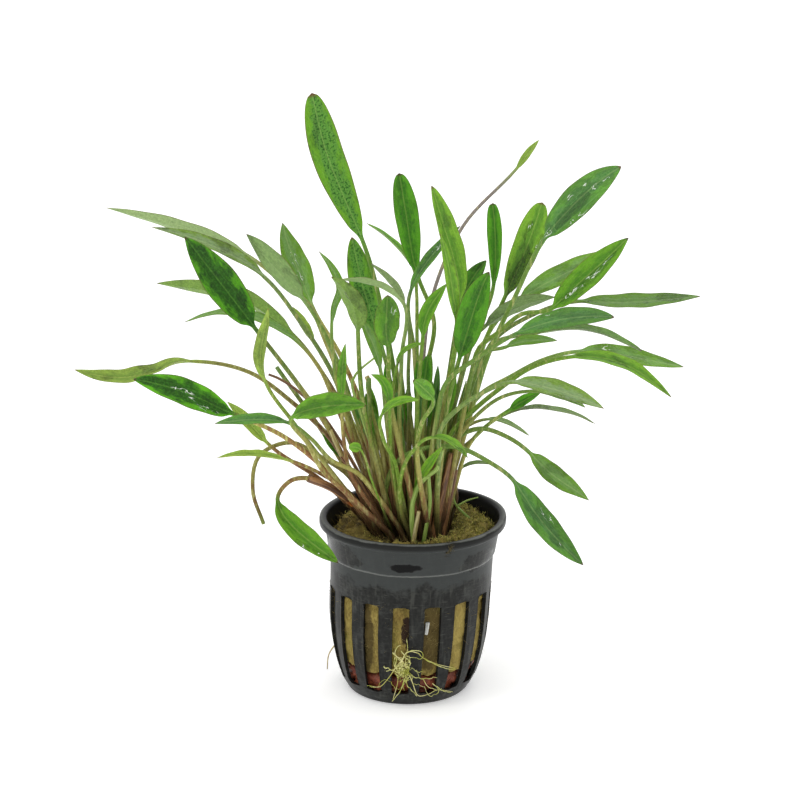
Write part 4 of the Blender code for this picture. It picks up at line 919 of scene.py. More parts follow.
# %% Pot grid
# rows from the middle of the floor outwards and up: outer radius and height, inner radius and height
wall_heights = np.concatenate([[1.2, 1.9, 2.6, 3.4], np.linspace(SLOT_BOTTOM, SLOT_TOP, 22),
                               [32.8, 34.5, 36.5, 38.5, 40.2, STEP_HEIGHT - 0.25]])
rows = [(r, 0.0, r, 1.4) for r in (1.5, 4.0, SLIT_INNER, 8.0, 9.5, 11.0, SLIT_OUTER, 14.0, 15.6)]
rows += [(16.9, 0.0, 16.3, 1.4), (17.35, 0.2, 16.7, 1.5), (17.75, 0.65, 17.0, 1.8)]
rows += [(body_radius(h), h, body_radius(max(h, 2.2)) - WALL, max(h, 2.0 + 0.3 * h)) for h in wall_heights]
rows += [(23.75, 41.4, 22.85, 41.4), (24.1, 41.6, 22.95, 41.7), (24.3, 42.0, 23.3, 42.2)]
rows += [(24.45 + 0.15 * (h - 43), h, 23.5 + 0.15 * (h - 43), h) for h in (43.0, 45.0, 47.0, 48.6)]
rows += [(25.5, 49.3, 24.5, 49.3), (25.9, 49.55, 24.6, 49.8), (26.6, 49.65, 24.66, 50.1),
         (26.95, 49.95, 24.72, 50.5), (27.0, 50.5, 24.8, 50.9), (27.0, 51.2, 24.9, 51.3),
         (26.85, 51.75, 25.05, 51.7), (26.4, 52.0, 25.4, 51.95)]
rows = np.array(rows)

SLOT_CELLS = np.array([-1.0, -0.82, -0.45, 0.0, 0.45, 0.82, 1.0])
RIB_CELLS = np.array([0.25, 0.5, 0.75])


def pot_columns(radius, height):
    """Angles of the columns at one row. In a slot they are equal parts of its width at that radius."""
    on_floor = smooth_step(-radius, -16.5, -13.0) * (height < 2)
    half_width = SLOT_HALF + (SLIT_HALF - SLOT_HALF) * on_floor
    half = math.degrees(math.asin(min(half_width / radius, 0.15)))
    pitch = 360 / SLOT_COUNT
    cells = np.concatenate([SLOT_CELLS * half, half + RIB_CELLS * (pitch - 2 * half)])
    middles = SLOT_FIRST * (1 - on_floor) + pitch * np.arange(SLOT_COUNT)
    return (middles[:, None] + cells[None]).ravel()


columns = len(SLOT_CELLS) + len(RIB_CELLS)
across_slot = np.tile(np.concatenate([SLOT_CELLS, [9, 9, 9]]), SLOT_COUNT)
outer, inner = [], []
for out_radius, out_height, in_radius, in_height in rows:
    angles = pot_columns(out_radius, out_height)
    # the slots' corners are rounded by half a millimetre
    near_end = 1.0 * (abs(out_height - SLOT_TOP) < 0.1) - 1.0 * (abs(out_height - SLOT_BOTTOM) < 0.1)
    bend = -0.5 * near_end * np.where(np.abs(across_slot) <= 1, across_slot ** 4, 0.4)
    outer.append(round_axis(angles, out_radius, out_height + bend))
    inner.append(round_axis(angles, in_radius, in_height + bend))
outer, inner = np.array(outer), np.array(inner)
outer[..., 2] = np.maximum(outer[..., 2], 0)
print("grid of one sheet of the pot:", outer.shape[:2])

# %% [markdown]
# ### The wall's faces
# A cell of the grid is kept where the wall is solid. The outer sheet's faces run one way round and the
# inner sheet's the other way, so that both face out of the plastic. Wherever a kept cell has a void
# beside it, a face joins the two sheets.

# %% Pot mesh
def swell(points, size, seed, count=24):
    """Smooth lumps about `size` across: the mean of waves with seeded directions and phases."""
    draw = np.random.default_rng(seed)
    waves = unit(draw.normal(size=(count, 3))) * (2 * np.pi / size) * draw.uniform(0.6, 1.6, (count, 1))
    phases = draw.uniform(0, 2 * np.pi, count)
    return np.cos(points @ waves.T + phases).sum(axis=-1) / math.sqrt(count / 2)


row_count, column_count = outer.shape[:2]
heights, radii = rows[:, 1], rows[:, 0]
solid = np.ones((row_count - 1, column_count), bool)
in_slot = np.tile(np.arange(columns) < len(SLOT_CELLS) - 1, SLOT_COUNT)
even = np.repeat(np.arange(SLOT_COUNT) % 2 == 0, columns)
wall_rows = (heights[:-1] > SLOT_BOTTOM - 0.1) & (heights[1:] < SLOT_TOP + 0.1)
slit_rows = (heights[1:] < 0.1) & (radii[:-1] > SLIT_INNER - 0.1) & (radii[1:] < SLIT_OUTER + 0.1)
solid[np.ix_(wall_rows, in_slot)] = False
solid[np.ix_(slit_rows, in_slot & even)] = False

number = np.arange(row_count * column_count).reshape(row_count, column_count)
after = np.roll(number, -1, axis=1)
within = row_count * column_count
a, b, c, d = number[:-1], after[:-1], after[1:], number[1:]
outside = np.stack([a, b, c, d], axis=-1)[solid]
inside = np.stack([d, c, b, a], axis=-1)[solid] + within
left_void = solid & ~np.roll(solid, 1, axis=1)
right_void = solid & ~np.roll(solid, -1, axis=1)
below_void = solid & ~np.vstack([np.ones((1, column_count), bool), solid[:-1]])
above_void = solid & ~np.vstack([solid[1:], np.ones((1, column_count), bool)])
edges = [np.stack([d, a, a + within, d + within], axis=-1)[left_void],
         np.stack([b, c, c + within, b + within], axis=-1)[right_void],
         np.stack([a, b, b + within, a + within], axis=-1)[below_void],
         np.stack([c, d, d + within, c + within], axis=-1)[above_void]]
brim = np.stack([number[-1], after[-1], after[-1] + within, number[-1] + within], axis=-1)
middle_out, middle_in = 2 * within, 2 * within + 1
hub_out = np.stack([after[0], number[0], np.full(column_count, middle_out)], axis=-1)
hub_in = np.stack([number[0] + within, after[0] + within, np.full(column_count, middle_in)], axis=-1)
pot_points = np.vstack([outer.reshape(-1, 3), inner.reshape(-1, 3), [[0, 0, 0], [0, 0, 1.4]]])
# no soft plastic pot is quite round: 0.15 mm of slow warping, none at the foot
warp = swell(pot_points, 40.0, 5)[:, None] * 0.15 * smooth_step(pot_points[:, 2:3], 5, 30)
level = pot_points * (1, 1, 0)
pot_points = sheared(pot_points + unit(level + 1e-9) * warp)
print("open cells in the pot's wall:", int((~solid).sum()))

# %% [markdown]
# ### The pot's finish
# Black plastic shows what has dried on it: a grey film on the collar, fine scratches and streaks, and
# darker places where it is still wet. Each is a mask over the base colour. A patch at one place is an
# ellipsoid whose edge is made ragged with noise.

# %% Patches
PATCH_FADE = 0.25


def near(tree, spot, centre, reach, ragged=0.0, grain=900.0):
    """A mask: 1 inside an ellipsoid given in millimetres, 0 outside it, with a ragged edge."""
    scale = [1000.0 / size for size in reach]
    shift = [-place / size for place, size in zip(centre, reach)]
    moved = add(tree, "Mapping", {"Vector": spot, "Location": shift, "Scale": scale})
    away = add(tree, "VectorMath", {0: moved}, 1, operation="LENGTH")
    noise = add(tree, "TexNoise", {"Vector": spot, "Scale": grain, "Detail": 3.0})
    away = add(tree, "Math", {0: noise, 1: ragged, 2: away}, operation="MULTIPLY_ADD")
    low = 1 - PATCH_FADE + ragged / 2
    return add(tree, "MapRange", {0: away, 1: low, 2: low + PATCH_FADE, 3: 1.0, 4: 0.0}, **SOFT_STEP)


print("a patch fades over the last", PATCH_FADE, "of its reach")

# %% [markdown]
# ### All the layers of the pot
# Bare plastic, dust and scratches, the dry film with its wet marks, the lip and the step with painted
# highlight and shade, and painted shade inside.

# %% Pot finish
def pot_paint(tree):
    """Moulded polypropylene, satin black: grey where dry and scuffed, dark where wet, with painted light and
    shade.
    """
    spot = add(tree, "TexCoord", {}, "Object")
    height = add(tree, "SeparateXYZ", {0: spot}, 2)
    # the inner sheet gets painted shade, with some wetness, further down
    within = add(tree, "Attribute", {}, "Fac", attribute_name="within")
    # fine scratches, drawn round the pot, specks of dust, and streaks where water has run down
    scratch = add(tree, "Mapping", {"Vector": spot, "Scale": (300.0, 300.0, 2600.0)})
    scratch = add(tree, "TexNoise", {"Vector": scratch, "Scale": 1.0, "Detail": 4.0})
    scuff = add(tree, "MapRange", {0: scratch, 1: 0.55, 2: 0.8}, **SOFT_STEP)
    dust = add(tree, "TexNoise", {"Vector": spot, "Scale": 1200.0, "Detail": 2.0})
    streak = add(tree, "Mapping", {"Vector": spot, "Scale": (700.0, 700.0, 90.0)})
    streak = add(tree, "TexNoise", {"Vector": streak, "Scale": 1.0, "Detail": 4.0, "Roughness": 0.6})
    streak = add(tree, "MapRange", {0: streak, 1: 0.5, 2: 0.75}, **SOFT_STEP)
    dust = add(tree, "Math", {0: dust, 1: 0.5, 2: scuff}, operation="MULTIPLY_ADD")
    dust = add(tree, "Math", {0: streak, 1: 0.8, 2: dust}, operation="MULTIPLY_ADD")
    colour = add(tree, "Mix", {0: dust, 6: linear("#080809"), 7: linear("#3c3d39")}, 2, data_type="RGBA")
    haze = add(tree, "TexNoise", {"Vector": spot, "Scale": 260.0, "Detail": 6.0, "Roughness": 0.75})
    haze = add(tree, "MapRange", {0: haze, 1: 0.5, 2: 0.68})

    # a dry grey film covers the collar, and ends below the step in a ragged line
    cloud = add(tree, "TexNoise", {"Vector": spot, "Scale": 150.0, "Detail": 5.0, "Roughness": 0.6})
    film = add(tree, "Math", {0: cloud, 1: 0.012, 2: height}, operation="MULTIPLY_ADD")
    film = add(tree, "MapRange", {0: film, 1: 0.0425, 2: 0.0445}, **SOFT_STEP)
    wet_left = near(tree, spot, (-21, -16, 45), (9, 12, 4.5), 0.9, 420.0)
    wet_right = near(tree, spot, (20, -17, 43.5), (6.5, 12, 3.4), 0.8, 420.0)
    drop = near(tree, spot, (-1.0, -24.5, 44.3), (4.9, 4.0, 1.4), 1.2, 380.0)
    wet = add(tree, "Math", {0: wet_left, 1: wet_right}, operation="MAXIMUM")
    wet = add(tree, "Math", {0: wet, 1: 0.9}, operation="MULTIPLY")
    wet = add(tree, "Math", {0: wet, 1: drop}, operation="MAXIMUM")
    dry = add(tree, "Math", {0: 1.0, 1: wet}, operation="SUBTRACT")
    film = add(tree, "Math", {0: film, 1: dry}, operation="MULTIPLY")

    # painted shade on the lip's outer band, painted highlights on its top and on the step, and painted
    # shade, with some wetness, on the inside
    painted_highlight = add(tree, "Math", {0: cloud, 1: 0.0012, 2: height}, operation="MULTIPLY_ADD")
    # painted shade on the lip's outer band
    brim = add(tree, "MapRange", {0: height, 1: 0.0498, 2: 0.0506})
    # painted highlight lines on the lip's top and on the step
    lip = add(tree, "MapRange", {0: painted_highlight, 1: 0.0522, 2: 0.0525})
    above_step = add(tree, "MapRange", {0: painted_highlight, 1: 0.0418, 2: 0.0421})
    below_line = add(tree, "MapRange", {0: painted_highlight, 1: 0.0427, 2: 0.0423})
    step = add(tree, "Math", {0: above_step, 1: below_line}, operation="MULTIPLY")
    painted_highlight = add(tree, "Math", {0: lip, 1: step}, operation="MAXIMUM")
    colour = layered(tree, colour, ((haze, 0.5, "#484a47"), (film, 0.85, "#3a3d3c"), (drop, 1.0, "#010101"),
                                    (brim, 0.85, "#141412"), (painted_highlight, 0.55, "#7e807c"),
                                    (within, 0.9, "#050504")))

    rough = add(tree, "MapRange", {0: dry, 3: 0.15, 4: 0.4})
    relief = add(tree, "Math", {0: wet, 1: 1.0, 2: scratch}, operation="MULTIPLY_ADD")
    normal = add(tree, "Bump", {"Height": relief, "Strength": 0.2, "Distance": 0.0002})
    return {"Base Color": colour, "Roughness": rough, "Normal": normal, "Specular IOR Level": 0.14}


pot_material = finish("moulded_polypropylene", pot_paint)
print("nodes in the pot's finish:", len(pot_material.node_tree.nodes))

# %% [markdown]
# ### Soft edges
# A moulded edge is never sharp. A Bevel modifier rounds each edge that is steeper than 50 degrees, and
# its result is then kept as the mesh, so that the last step can still move single points.

# %% Pot
EDGE_WIDTH, EDGE_ANGLE = 0.16, 50
pot_faces = [outside, inside, *edges, brim, hub_out, hub_in]
inner_sheet = np.concatenate([np.zeros(within), np.ones(within), [0.0, 1.0]])
pot = piece("net_pot_wall", pot_points, pot_faces, pot_material, within=inner_sheet)
bevel = pot.modifiers.new("soft_edges", "BEVEL")
bevel.width = EDGE_WIDTH * MM
bevel.segments = 2
bevel.limit_method = "ANGLE"
bevel.angle_limit = math.radians(EDGE_ANGLE)

# a rounded edge under the floor bulges by a tenth of a millimetre, so it is pressed flat to the table
bpy.context.view_layer.update()
rounded = bpy.data.meshes.new_from_object(pot.evaluated_get(bpy.context.evaluated_depsgraph_get()))
places = np.empty(len(rounded.vertices) * 3, np.float32)
rounded.vertices.foreach_get("co", places)
places[2::3] = np.maximum(places[2::3], 0)
rounded.vertices.foreach_set("co", places)
pot.modifiers.clear()
pot.data = rounded
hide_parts("net_pot")
print("pot faces:", sum(len(group) for group in pot_faces))

# %% [markdown]
# ## The wool, its fibres and its moss
# Mineral wool is a mat of fine fibres. Soaked and grown over, it has turned ochre. A displaced surface
# gives its lumps, a few thousand short bent fibres its fuzz, and small pointed leaflets the moss that
# has grown on its top. Everything stays in the space of the solid, inside the pot.

# %% Turned and lumpy shapes
WOOL_TOP = 48.5
WOOL_BOTTOM = 9.8
CROWN_MIDDLE = np.array([0.3, -0.5])
POCKET = 12.2


def turned_grid(profile, count, spacing, centre_of):
    """A profile of (radius, height) carried round the axis, with rows no more than `spacing` apart.

    It goes round clockwise, so that a profile that starts on top, in the middle, has its faces outward.
    """
    profile = np.array(profile)
    run = np.concatenate([[0], np.cumsum(np.linalg.norm(np.diff(profile, axis=0), axis=1))])
    steps = np.linspace(0, run[-1], int(run[-1] / spacing) + 2)
    radius, height = np.interp(steps, run, profile[:, 0]), np.interp(steps, run, profile[:, 1])
    angle = -np.linspace(0, 360, count, endpoint=False)
    grid = round_axis(angle[None] * np.ones((len(steps), 1)), radius[:, None], height[:, None])
    centre = centre_of(radius, height)
    grid[..., :2] += centre[:, None]
    return grid


def lumpy(grid, layers):
    """Moves a grid's points along its normals by layers of (size, height of the lumps, seed)."""
    down, round_way = np.gradient(grid, axis=0), np.roll(grid, -1, axis=1) - np.roll(grid, 1, axis=1)
    normal = unit(np.cross(round_way, down))
    shift = sum(swell(grid.reshape(-1, 3), size, seed).reshape(grid.shape[:2]) * depth
                for size, depth, seed in layers)
    return grid + normal * shift[..., None]


print("the wool stands", POT_HEIGHT - WOOL_TOP, "mm under the rim")

# %% [markdown]
# ### The wool's finish
# Ochre fibre with rusty and olive stains, painted shade in hollows on top, and a few patches, among
# them painted shade round the stalks and a painted pool of light behind a slot.

# %% Wool finish
WOOL_PATCHES = (
    # middle and reach in millimetres, how ragged and how fine the edge is, how strong, colour
    # the next row, named mud, is painted shade round the stalks, where the tuft shades the wool
    ((0.8, -0.5, 47.5), (14.5, 14.5, 9.0), 0.5, 300.0, 0.85, "#2a2010"),    # mud round the stalks
    ((17.5, -2.0, 49.0), (8.0, 12.0, 4.0), 0.6, 300.0, 0.55, "#b4a45e"),    # dry and tan, on the right
    ((-13.0, -10.0, 49.0), (6.0, 7.0, 4.0), 0.6, 300.0, 0.35, "#a89852"),   # and a little on the left
    # the next row, a pale strip, is a painted pool of light on the wool behind a slot
    ((16.5, -17.0, 20.0), (4.5, 6.0, 18.0), 0.4, 500.0, 0.35, "#c0ac60"),   # a pale strip behind a slot
    ((6.3, -21.5, 23.0), (3.6, 4.0, 16.0), 0.5, 500.0, 0.9, "#473a18"),     # a strip that is soaked dark
    ((-12.6, -18.0, 20.0), (3.4, 5.0, 17.0), 0.5, 500.0, 0.9, "#473a18"),   # another, further left
    ((-0.2, -22.0, 24.0), (2.0, 3.5, 5.2), 0.9, 600.0, 1.0, "#2a1a0b"),     # a rotted hole in the front
)


def wool_centre(radius, height):
    """The pocket stands round the crown, and the outer side round the pot's own axis."""
    share = np.where(height < 40, 1.0, smooth_step(radius, POCKET, POCKET + 6))
    return CROWN_MIDDLE[None] * (1 - share[:, None])


def wool_paint(tree):
    """Soaked mineral wool: matt, fibrous, ochre with rusty stains, and painted shade in the hollows of its
    top.
    """
    spot = add(tree, "TexCoord", {}, "Object")
    # fibres about 0.3 mm thick in the drawing, coarser than life so that they show
    strand = add(tree, "Mapping", {"Vector": spot, "Scale": (1.0, 1.0, 0.35)})
    strand = add(tree, "TexNoise", {"Vector": strand, "Scale": 1500.0, "Detail": 5.0, "Distortion": 1.5})
    stain = add(tree, "TexNoise", {"Vector": spot, "Scale": 140.0, "Detail": 4.0, "Roughness": 0.6})
    grain = add(tree, "MapRange", {0: strand, 1: 0.35, 2: 0.68}, **SOFT_STEP)
    colour = add(tree, "Mix", {0: grain, 6: linear("#766630"), 7: linear("#9c8a48")}, 2, data_type="RGBA")
    rust = add(tree, "MapRange", {0: stain, 1: 0.5, 2: 0.72}, **SOFT_STEP)
    olive = add(tree, "MapRange", {0: stain, 1: 0.46, 2: 0.34}, **SOFT_STEP)
    # painted shade in hollows of the top
    height = add(tree, "SeparateXYZ", {0: spot}, 2)
    on_top = add(tree, "MapRange", {0: height, 1: 0.043, 2: 0.0455})
    painted_hollow_shade = add(tree, "TexNoise", {"Vector": spot, "Scale": 260.0, "Detail": 3.0, "Roughness": 0.6})
    painted_hollow_shade = add(tree, "MapRange", {0: painted_hollow_shade, 1: 0.48, 2: 0.58}, **SOFT_STEP)
    painted_hollow_shade = add(tree, "Math", {0: painted_hollow_shade, 1: on_top}, operation="MULTIPLY")
    layers = [(rust, 0.6, "#644a20"), (olive, 0.5, "#7d7a30"), (painted_hollow_shade, 0.8, "#382e16")]
    layers += [(near(tree, spot, *place), strength, stained) for *place, strength, stained in WOOL_PATCHES]
    colour = layered(tree, colour, layers)
    normal = add(tree, "Bump", {"Height": strand, "Strength": 0.5, "Distance": 0.0004})
    return {"Base Color": colour, "Roughness": 0.85, "Normal": normal, "Specular IOR Level": 0.3}


print("patches on the wool:", len(WOOL_PATCHES))

# %% [markdown]
# ### The plug's surface
# One profile is carried round: up the pocket that the crown sits in, over the top and down the side.
# Lumps of three sizes then push it in and out. Last, every point is held inside the pot's wall.

# %% Wool plug
WALL_GAP = 0.12
COLLAR_INNER = 23.3
MOUND_MIDDLE, MOUND_REACH, MOUND_RISE = np.array([17.0, -3.0]), np.array([6.0, 10.0]), 1.3

wool_profile = [(0.05, 34.2), (7.8, 34.2), (POCKET * 0.97, 42.5), (POCKET, 46.3), (14.0, 47.7),
                (16.5, WOOL_TOP), (19.5, WOOL_TOP - 0.1), (21.8, WOOL_TOP - 0.8), (22.8, WOOL_TOP - 2.4)]
wool_profile += [(body_radius(h) - WALL - 0.3, h) for h in (38.0, 30.0, 22.0, 14.0)]
wool_profile += [(20.2, WOOL_BOTTOM + 0.3), (18.6, WOOL_BOTTOM), (0.05, WOOL_BOTTOM)]
wool_grid = turned_grid(wool_profile, 180, 0.7, wool_centre)
wool_grid = lumpy(wool_grid, ((9.0, 0.35, 11), (3.2, 0.22, 12), (1.2, 0.1, 13)))
# the top bulges on the right, and nothing passes through the pot's wall
away = (((wool_grid[..., :2] - MOUND_MIDDLE) / MOUND_REACH) ** 2).sum(axis=-1)
clumps = swell(wool_grid.reshape(-1, 3), 2.8, 14).reshape(away.shape) * 0.6
wool_grid[..., 2] += (MOUND_RISE * np.exp(-away) + clumps) * smooth_step(wool_grid[..., 2], 44, 47)
level = np.linalg.norm(wool_grid[..., :2], axis=-1)
wall_inside = body_radius(wool_grid[..., 2]) - WALL
inside = np.where(wool_grid[..., 2] > STEP_HEIGHT, COLLAR_INNER, wall_inside) - WALL_GAP
wool_grid[..., :2] *= np.minimum(1.0, inside / np.maximum(level, 1.0))[..., None]
wool_grid = sheared(wool_grid)
wool_faces = tube_faces(*wool_grid.shape[:2])
wool_material = finish("soaked_mineral_wool", wool_paint)
wool = piece("wool_plug", wool_grid.reshape(-1, 3), wool_faces, wool_material)
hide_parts("rock_wool")
print("wool faces:", len(wool_faces[0]))

# %% [markdown]
# ### Loose fibres
# Hair particles would be lost in an export, so each fibre is a bent three-sided tube of its own, and
# all of them are worked out at once. They start at random places of the wool's grid.

# %% Short strands
FIBRE_COUNT, FIBRE_LENGTH, FIBRE_RADIUS = 5000, 2.6, 0.05


def strands(starts, directions, length, radius, bend, seed, steps=4, sides=3):
    """Many short tubes as one grid each: a start, a direction, and a bend that grows with the square of
    the way along. Gives all points, and the faces with both ends closed."""
    draw = np.random.default_rng(seed)
    count = len(starts)
    length = length * draw.uniform(0.5, 1.3, (count, 1, 1))
    along = np.linspace(0, 1, steps)[None, :, None]
    aside = unit(np.cross(directions, draw.normal(size=(count, 3))))
    other = np.cross(directions, aside)
    line = starts[:, None] + length * (directions[:, None] * along + aside[:, None] * bend * along ** 2)
    turn = np.linspace(0, 2 * np.pi, sides, endpoint=False)
    ring = aside[:, None] * np.cos(turn)[None, :, None] + other[:, None] * np.sin(turn)[None, :, None]
    thick = radius * (1 - 0.7 * along)
    points = line[:, :, None] + ring[:, None] * thick[..., None]
    base = (np.arange(count) * steps * sides)[:, None, None]
    walls, low, high = tube_faces(steps, sides)
    faces = [(base + walls[None]).reshape(-1, 4), (base + low[None]).reshape(-1, sides),
             (base + high[None]).reshape(-1, sides)]
    return points.reshape(-1, 3), faces


def scattered(grid, count, seed, allowed):
    """Random points on a grid of points where allowed(points) holds, with the normals there."""
    down, round_way = np.gradient(grid, axis=0), np.roll(grid, -1, axis=1) - np.roll(grid, 1, axis=1)
    normal = unit(np.cross(round_way, down)).reshape(-1, 3)
    area = np.linalg.norm(np.cross(round_way, down), axis=-1).ravel()
    points = grid.reshape(-1, 3)
    weight = np.where(allowed(points), area, 0)
    draw = np.random.default_rng(seed)
    pick = draw.choice(len(points), count, p=weight / weight.sum())
    return points[pick] + draw.normal(size=(count, 3)) * 0.25, normal[pick], draw


print("fibres are", 0.5 * FIBRE_LENGTH, "to", round(1.3 * FIBRE_LENGTH, 1), "mm long")

# %% [markdown]
# ### The fibres themselves
# On the side they lie close, so that none crosses a rib. On top they stand up a little.

# %% Fibres
def side_or_top(points):
    """The wool's outer side behind the slots, and its top."""
    return (points[:, 2] < 33) & (points[:, 2] > 11) | (points[:, 2] > 46.5)


def fibre_paint(tree):
    """Single fibres of the wool, a little paler than the mat."""
    spot = add(tree, "TexCoord", {}, "Object")
    mix = add(tree, "TexNoise", {"Vector": spot, "Scale": 500.0})
    colour = add(tree, "Mix", {0: mix, 6: linear("#6e5e2a"), 7: linear("#a8965a")}, 2, data_type="RGBA")
    return {"Base Color": colour, "Roughness": 0.8}


starts, normals, draw = scattered(wool_grid, FIBRE_COUNT, 21, side_or_top)
# on top they stand up a little, and at the side they lie inward, out of the way of the ribs
lean = np.where(starts[:, 2:] > 40, 0.1, -0.6)
lie = unit(unit(draw.normal(size=normals.shape)) + normals * lean)
fibre_points, fibre_faces = strands(starts - normals * 0.15, lie, FIBRE_LENGTH, FIBRE_RADIUS, 0.5, 22)
fibres = piece("wool_fibres", fibre_points, fibre_faces, finish("mineral_fibre", fibre_paint))
print("fibre faces:", sum(len(group) for group in fibre_faces))

# %% [markdown]
# ### Moss
# A moss cushion is thousands of pointed leaflets. At this size each one is a short cone that tapers to
# its tip, so the fibres' function makes them too, shorter and thicker.

# %% Moss
MOSS_COUNT, MOSS_LENGTH, MOSS_RADIUS = 4200, 0.75, 0.18


def moss_paint(tree, low, high):
    """Moss leaflets: dull olive, with ochre dead ones among them."""
    spot = add(tree, "TexCoord", {}, "Object")
    mix = add(tree, "TexNoise", {"Vector": spot, "Scale": 700.0, "Detail": 2.0})
    mix = add(tree, "MapRange", {0: mix, 1: 0.35, 2: 0.65})
    colour = add(tree, "Mix", {0: mix, 6: linear(low), 7: linear(high)}, 2, data_type="RGBA")
    return {"Base Color": colour, "Roughness": 0.75}


def mossy(points):
    """On the wool's top, most of it to the right of the crown."""
    cover = swell(points, 7.0, 31) + 0.08 * points[:, 0]
    return (points[:, 2] > 46.8) & (np.linalg.norm(points[:, :2], axis=1) > 12) & (cover > -0.2)


starts, normals, draw = scattered(wool_grid, MOSS_COUNT, 32, mossy)
mound = np.clip(swell(starts, 6.0, 33) + 0.6, 0.0, 1.6)[:, None]
up = unit(normals + draw.normal(size=normals.shape) * 0.7)
starts = starts + normals * mound * 0.2
moss_points, moss_faces = strands(starts, up, MOSS_LENGTH, MOSS_RADIUS, 0.4, 34, steps=3)
moss = piece("moss", moss_points, moss_faces, finish("olive_moss", moss_paint, "#76742f", "#ccc064"))

# a strand of it hangs over the lip, a little to the right of the front
LIP_MOSS_ANGLE, LIP_MOSS_COUNT = 22.5, 170
LIP_MOSS = ((26.0, 52.1), (26.9, 51.6), (27.1, 50.6), (26.0, 49.6), (24.9, 48.6), (24.8, 47.6))
run = np.linspace(0, len(LIP_MOSS) - 1, LIP_MOSS_COUNT)
radius, height = (np.interp(run, range(len(LIP_MOSS)), column) for column in zip(*LIP_MOSS))
angles = LIP_MOSS_ANGLE + draw.normal(size=LIP_MOSS_COUNT) * 0.6
starts = sheared(round_axis(angles, radius, height) + draw.normal(size=(LIP_MOSS_COUNT, 3)) * 0.12)
down = unit(draw.normal(size=(LIP_MOSS_COUNT, 3)) + (0.3, -0.7, -1.2))
moss_points, moss_faces = strands(starts, down, 0.8, 0.13, 0.5, 35, steps=3)
dead_moss = finish("dead_moss", moss_paint, "#2a2616", "#5c5230")
hanging = piece("moss_on_the_lip", moss_points, moss_faces, dead_moss)
print("moss leaflets on the lip:", len(run))

# %% [markdown]
# ## The rootstock
# The mound that the stalks stand on: dark, knobbly, with the brown sheaths of old leaves round it.

# %% Rootstock
def crown_paint(tree):
    """Old rootstock: nearly black, its own dark colour deepened by painted shade of the stalks, brown where a
    sheath is left.
    """
    spot = add(tree, "TexCoord", {}, "Object")
    bark = add(tree, "TexNoise", {"Vector": spot, "Scale": 420.0, "Detail": 5.0, "Roughness": 0.65})
    mix = add(tree, "MapRange", {0: bark, 1: 0.4, 2: 0.68}, **SOFT_STEP)
    # the near-black is partly painted shade under the stalks
    colour = add(tree, "Mix", {0: mix, 6: linear("#14100a"), 7: linear("#33261a")}, 2, data_type="RGBA")
    normal = add(tree, "Bump", {"Height": bark, "Strength": 0.6, "Distance": 0.0005})
    return {"Base Color": colour, "Roughness": 0.7, "Normal": normal}


def crown_centre(radius, height):
    """The mound's own axis, at every height."""
    return CROWN_MIDDLE[None] * np.ones((len(radius), 1))


crown_profile = [(0.05, 47.2), (5.0, 47.2), (9.0, 46.7), (11.0, 45.9), (11.3, 45.0), (10.6, 41.5),
                 (7.0, 34.7), (0.05, 34.6)]
crown_grid = turned_grid(crown_profile, 96, 0.6, crown_centre)
crown_grid = lumpy(crown_grid, ((4.0, 0.18, 41), (1.6, 0.12, 42)))
crown_material = finish("old_rootstock", crown_paint)
rootstock = piece("rootstock", crown_grid.reshape(-1, 3), tube_faces(*crown_grid.shape[:2]), crown_material)
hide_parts("crown")
print("rootstock points:", crown_grid.shape[:2])

# %% [markdown]
# ## Baked clay
# The foot of the pot is filled with small balls of baked clay, which show red-brown through the
# lower ends of the slots. Each ball is a coarse sphere with lumps of its own, and a lumpy core of the
# same clay closes the gaps behind them.

# %% Clay finish
def clay_paint(tree):
    """Baked clay: matt and porous, brick red to dark brown from ball to ball."""
    spot = add(tree, "TexCoord", {}, "Object")
    ball = add(tree, "TexVoronoi", {"Vector": spot, "Scale": 280.0}, "Color")
    ball = add(tree, "SeparateColor", {0: ball}, 0)
    pores = add(tree, "TexNoise", {"Vector": spot, "Scale": 1600.0, "Detail": 3.0})
    colour = add(tree, "Mix", {0: ball, 6: linear("#682414"), 7: linear("#c2643c")}, 2, data_type="RGBA")
    colour = add(tree, "Mix", {0: pores, 6: linear("#3a160c"), 7: colour}, 2, data_type="RGBA")
    normal = add(tree, "Bump", {"Height": pores, "Strength": 0.6, "Distance": 0.0003})
    return {"Base Color": colour, "Roughness": 0.6, "Normal": normal}


clay_material = finish("baked_clay_brick", clay_paint)
print("nodes in the clay's finish:", len(clay_material.node_tree.nodes))

# %% [markdown]
# ### Balls and core
# One ball is a grid of five rings with two poles. It is copied to all places at once.

# %% Clay
CLAY_FLOOR = 1.6
# rings of balls: height, how many, radius of a ball, and its distance from the wall
CLAY_RINGS = ((3.9, 25, 2.2, 0.5), (7.2, 24, 2.2, 0.5), (2.9, 14, 2.0, 6.0))
draw = np.random.default_rng(51)
middles, sizes = [], []
for height, count, size, off_wall in CLAY_RINGS:
    reach = body_radius(height) - WALL - size - off_wall
    angles = np.linspace(0, 360, count, endpoint=False) + draw.uniform(-3, 3, count)
    middles.append(round_axis(angles, reach, height) + draw.normal(size=(count, 3)) * 0.2)
    sizes.append(np.full(count, size) * draw.uniform(0.82, 1.05, count))
middles, sizes = np.vstack(middles), np.concatenate(sizes)
BALL_ROWS, BALL_COLUMNS = 5, 9
lift_angle = np.radians(np.linspace(-66, 66, BALL_ROWS))[:, None]
round_angle = np.linspace(0, 2 * np.pi, BALL_COLUMNS, endpoint=False)[None]
ball = np.stack([np.cos(lift_angle) * np.cos(round_angle), np.cos(lift_angle) * np.sin(round_angle),
                 np.sin(lift_angle) * np.ones_like(round_angle)], axis=-1).reshape(-1, 3)
ball = np.vstack([ball, [[0, 0, -1], [0, 0, 1]]])
balls = middles[:, None] + ball[None] * sizes[:, None, None]
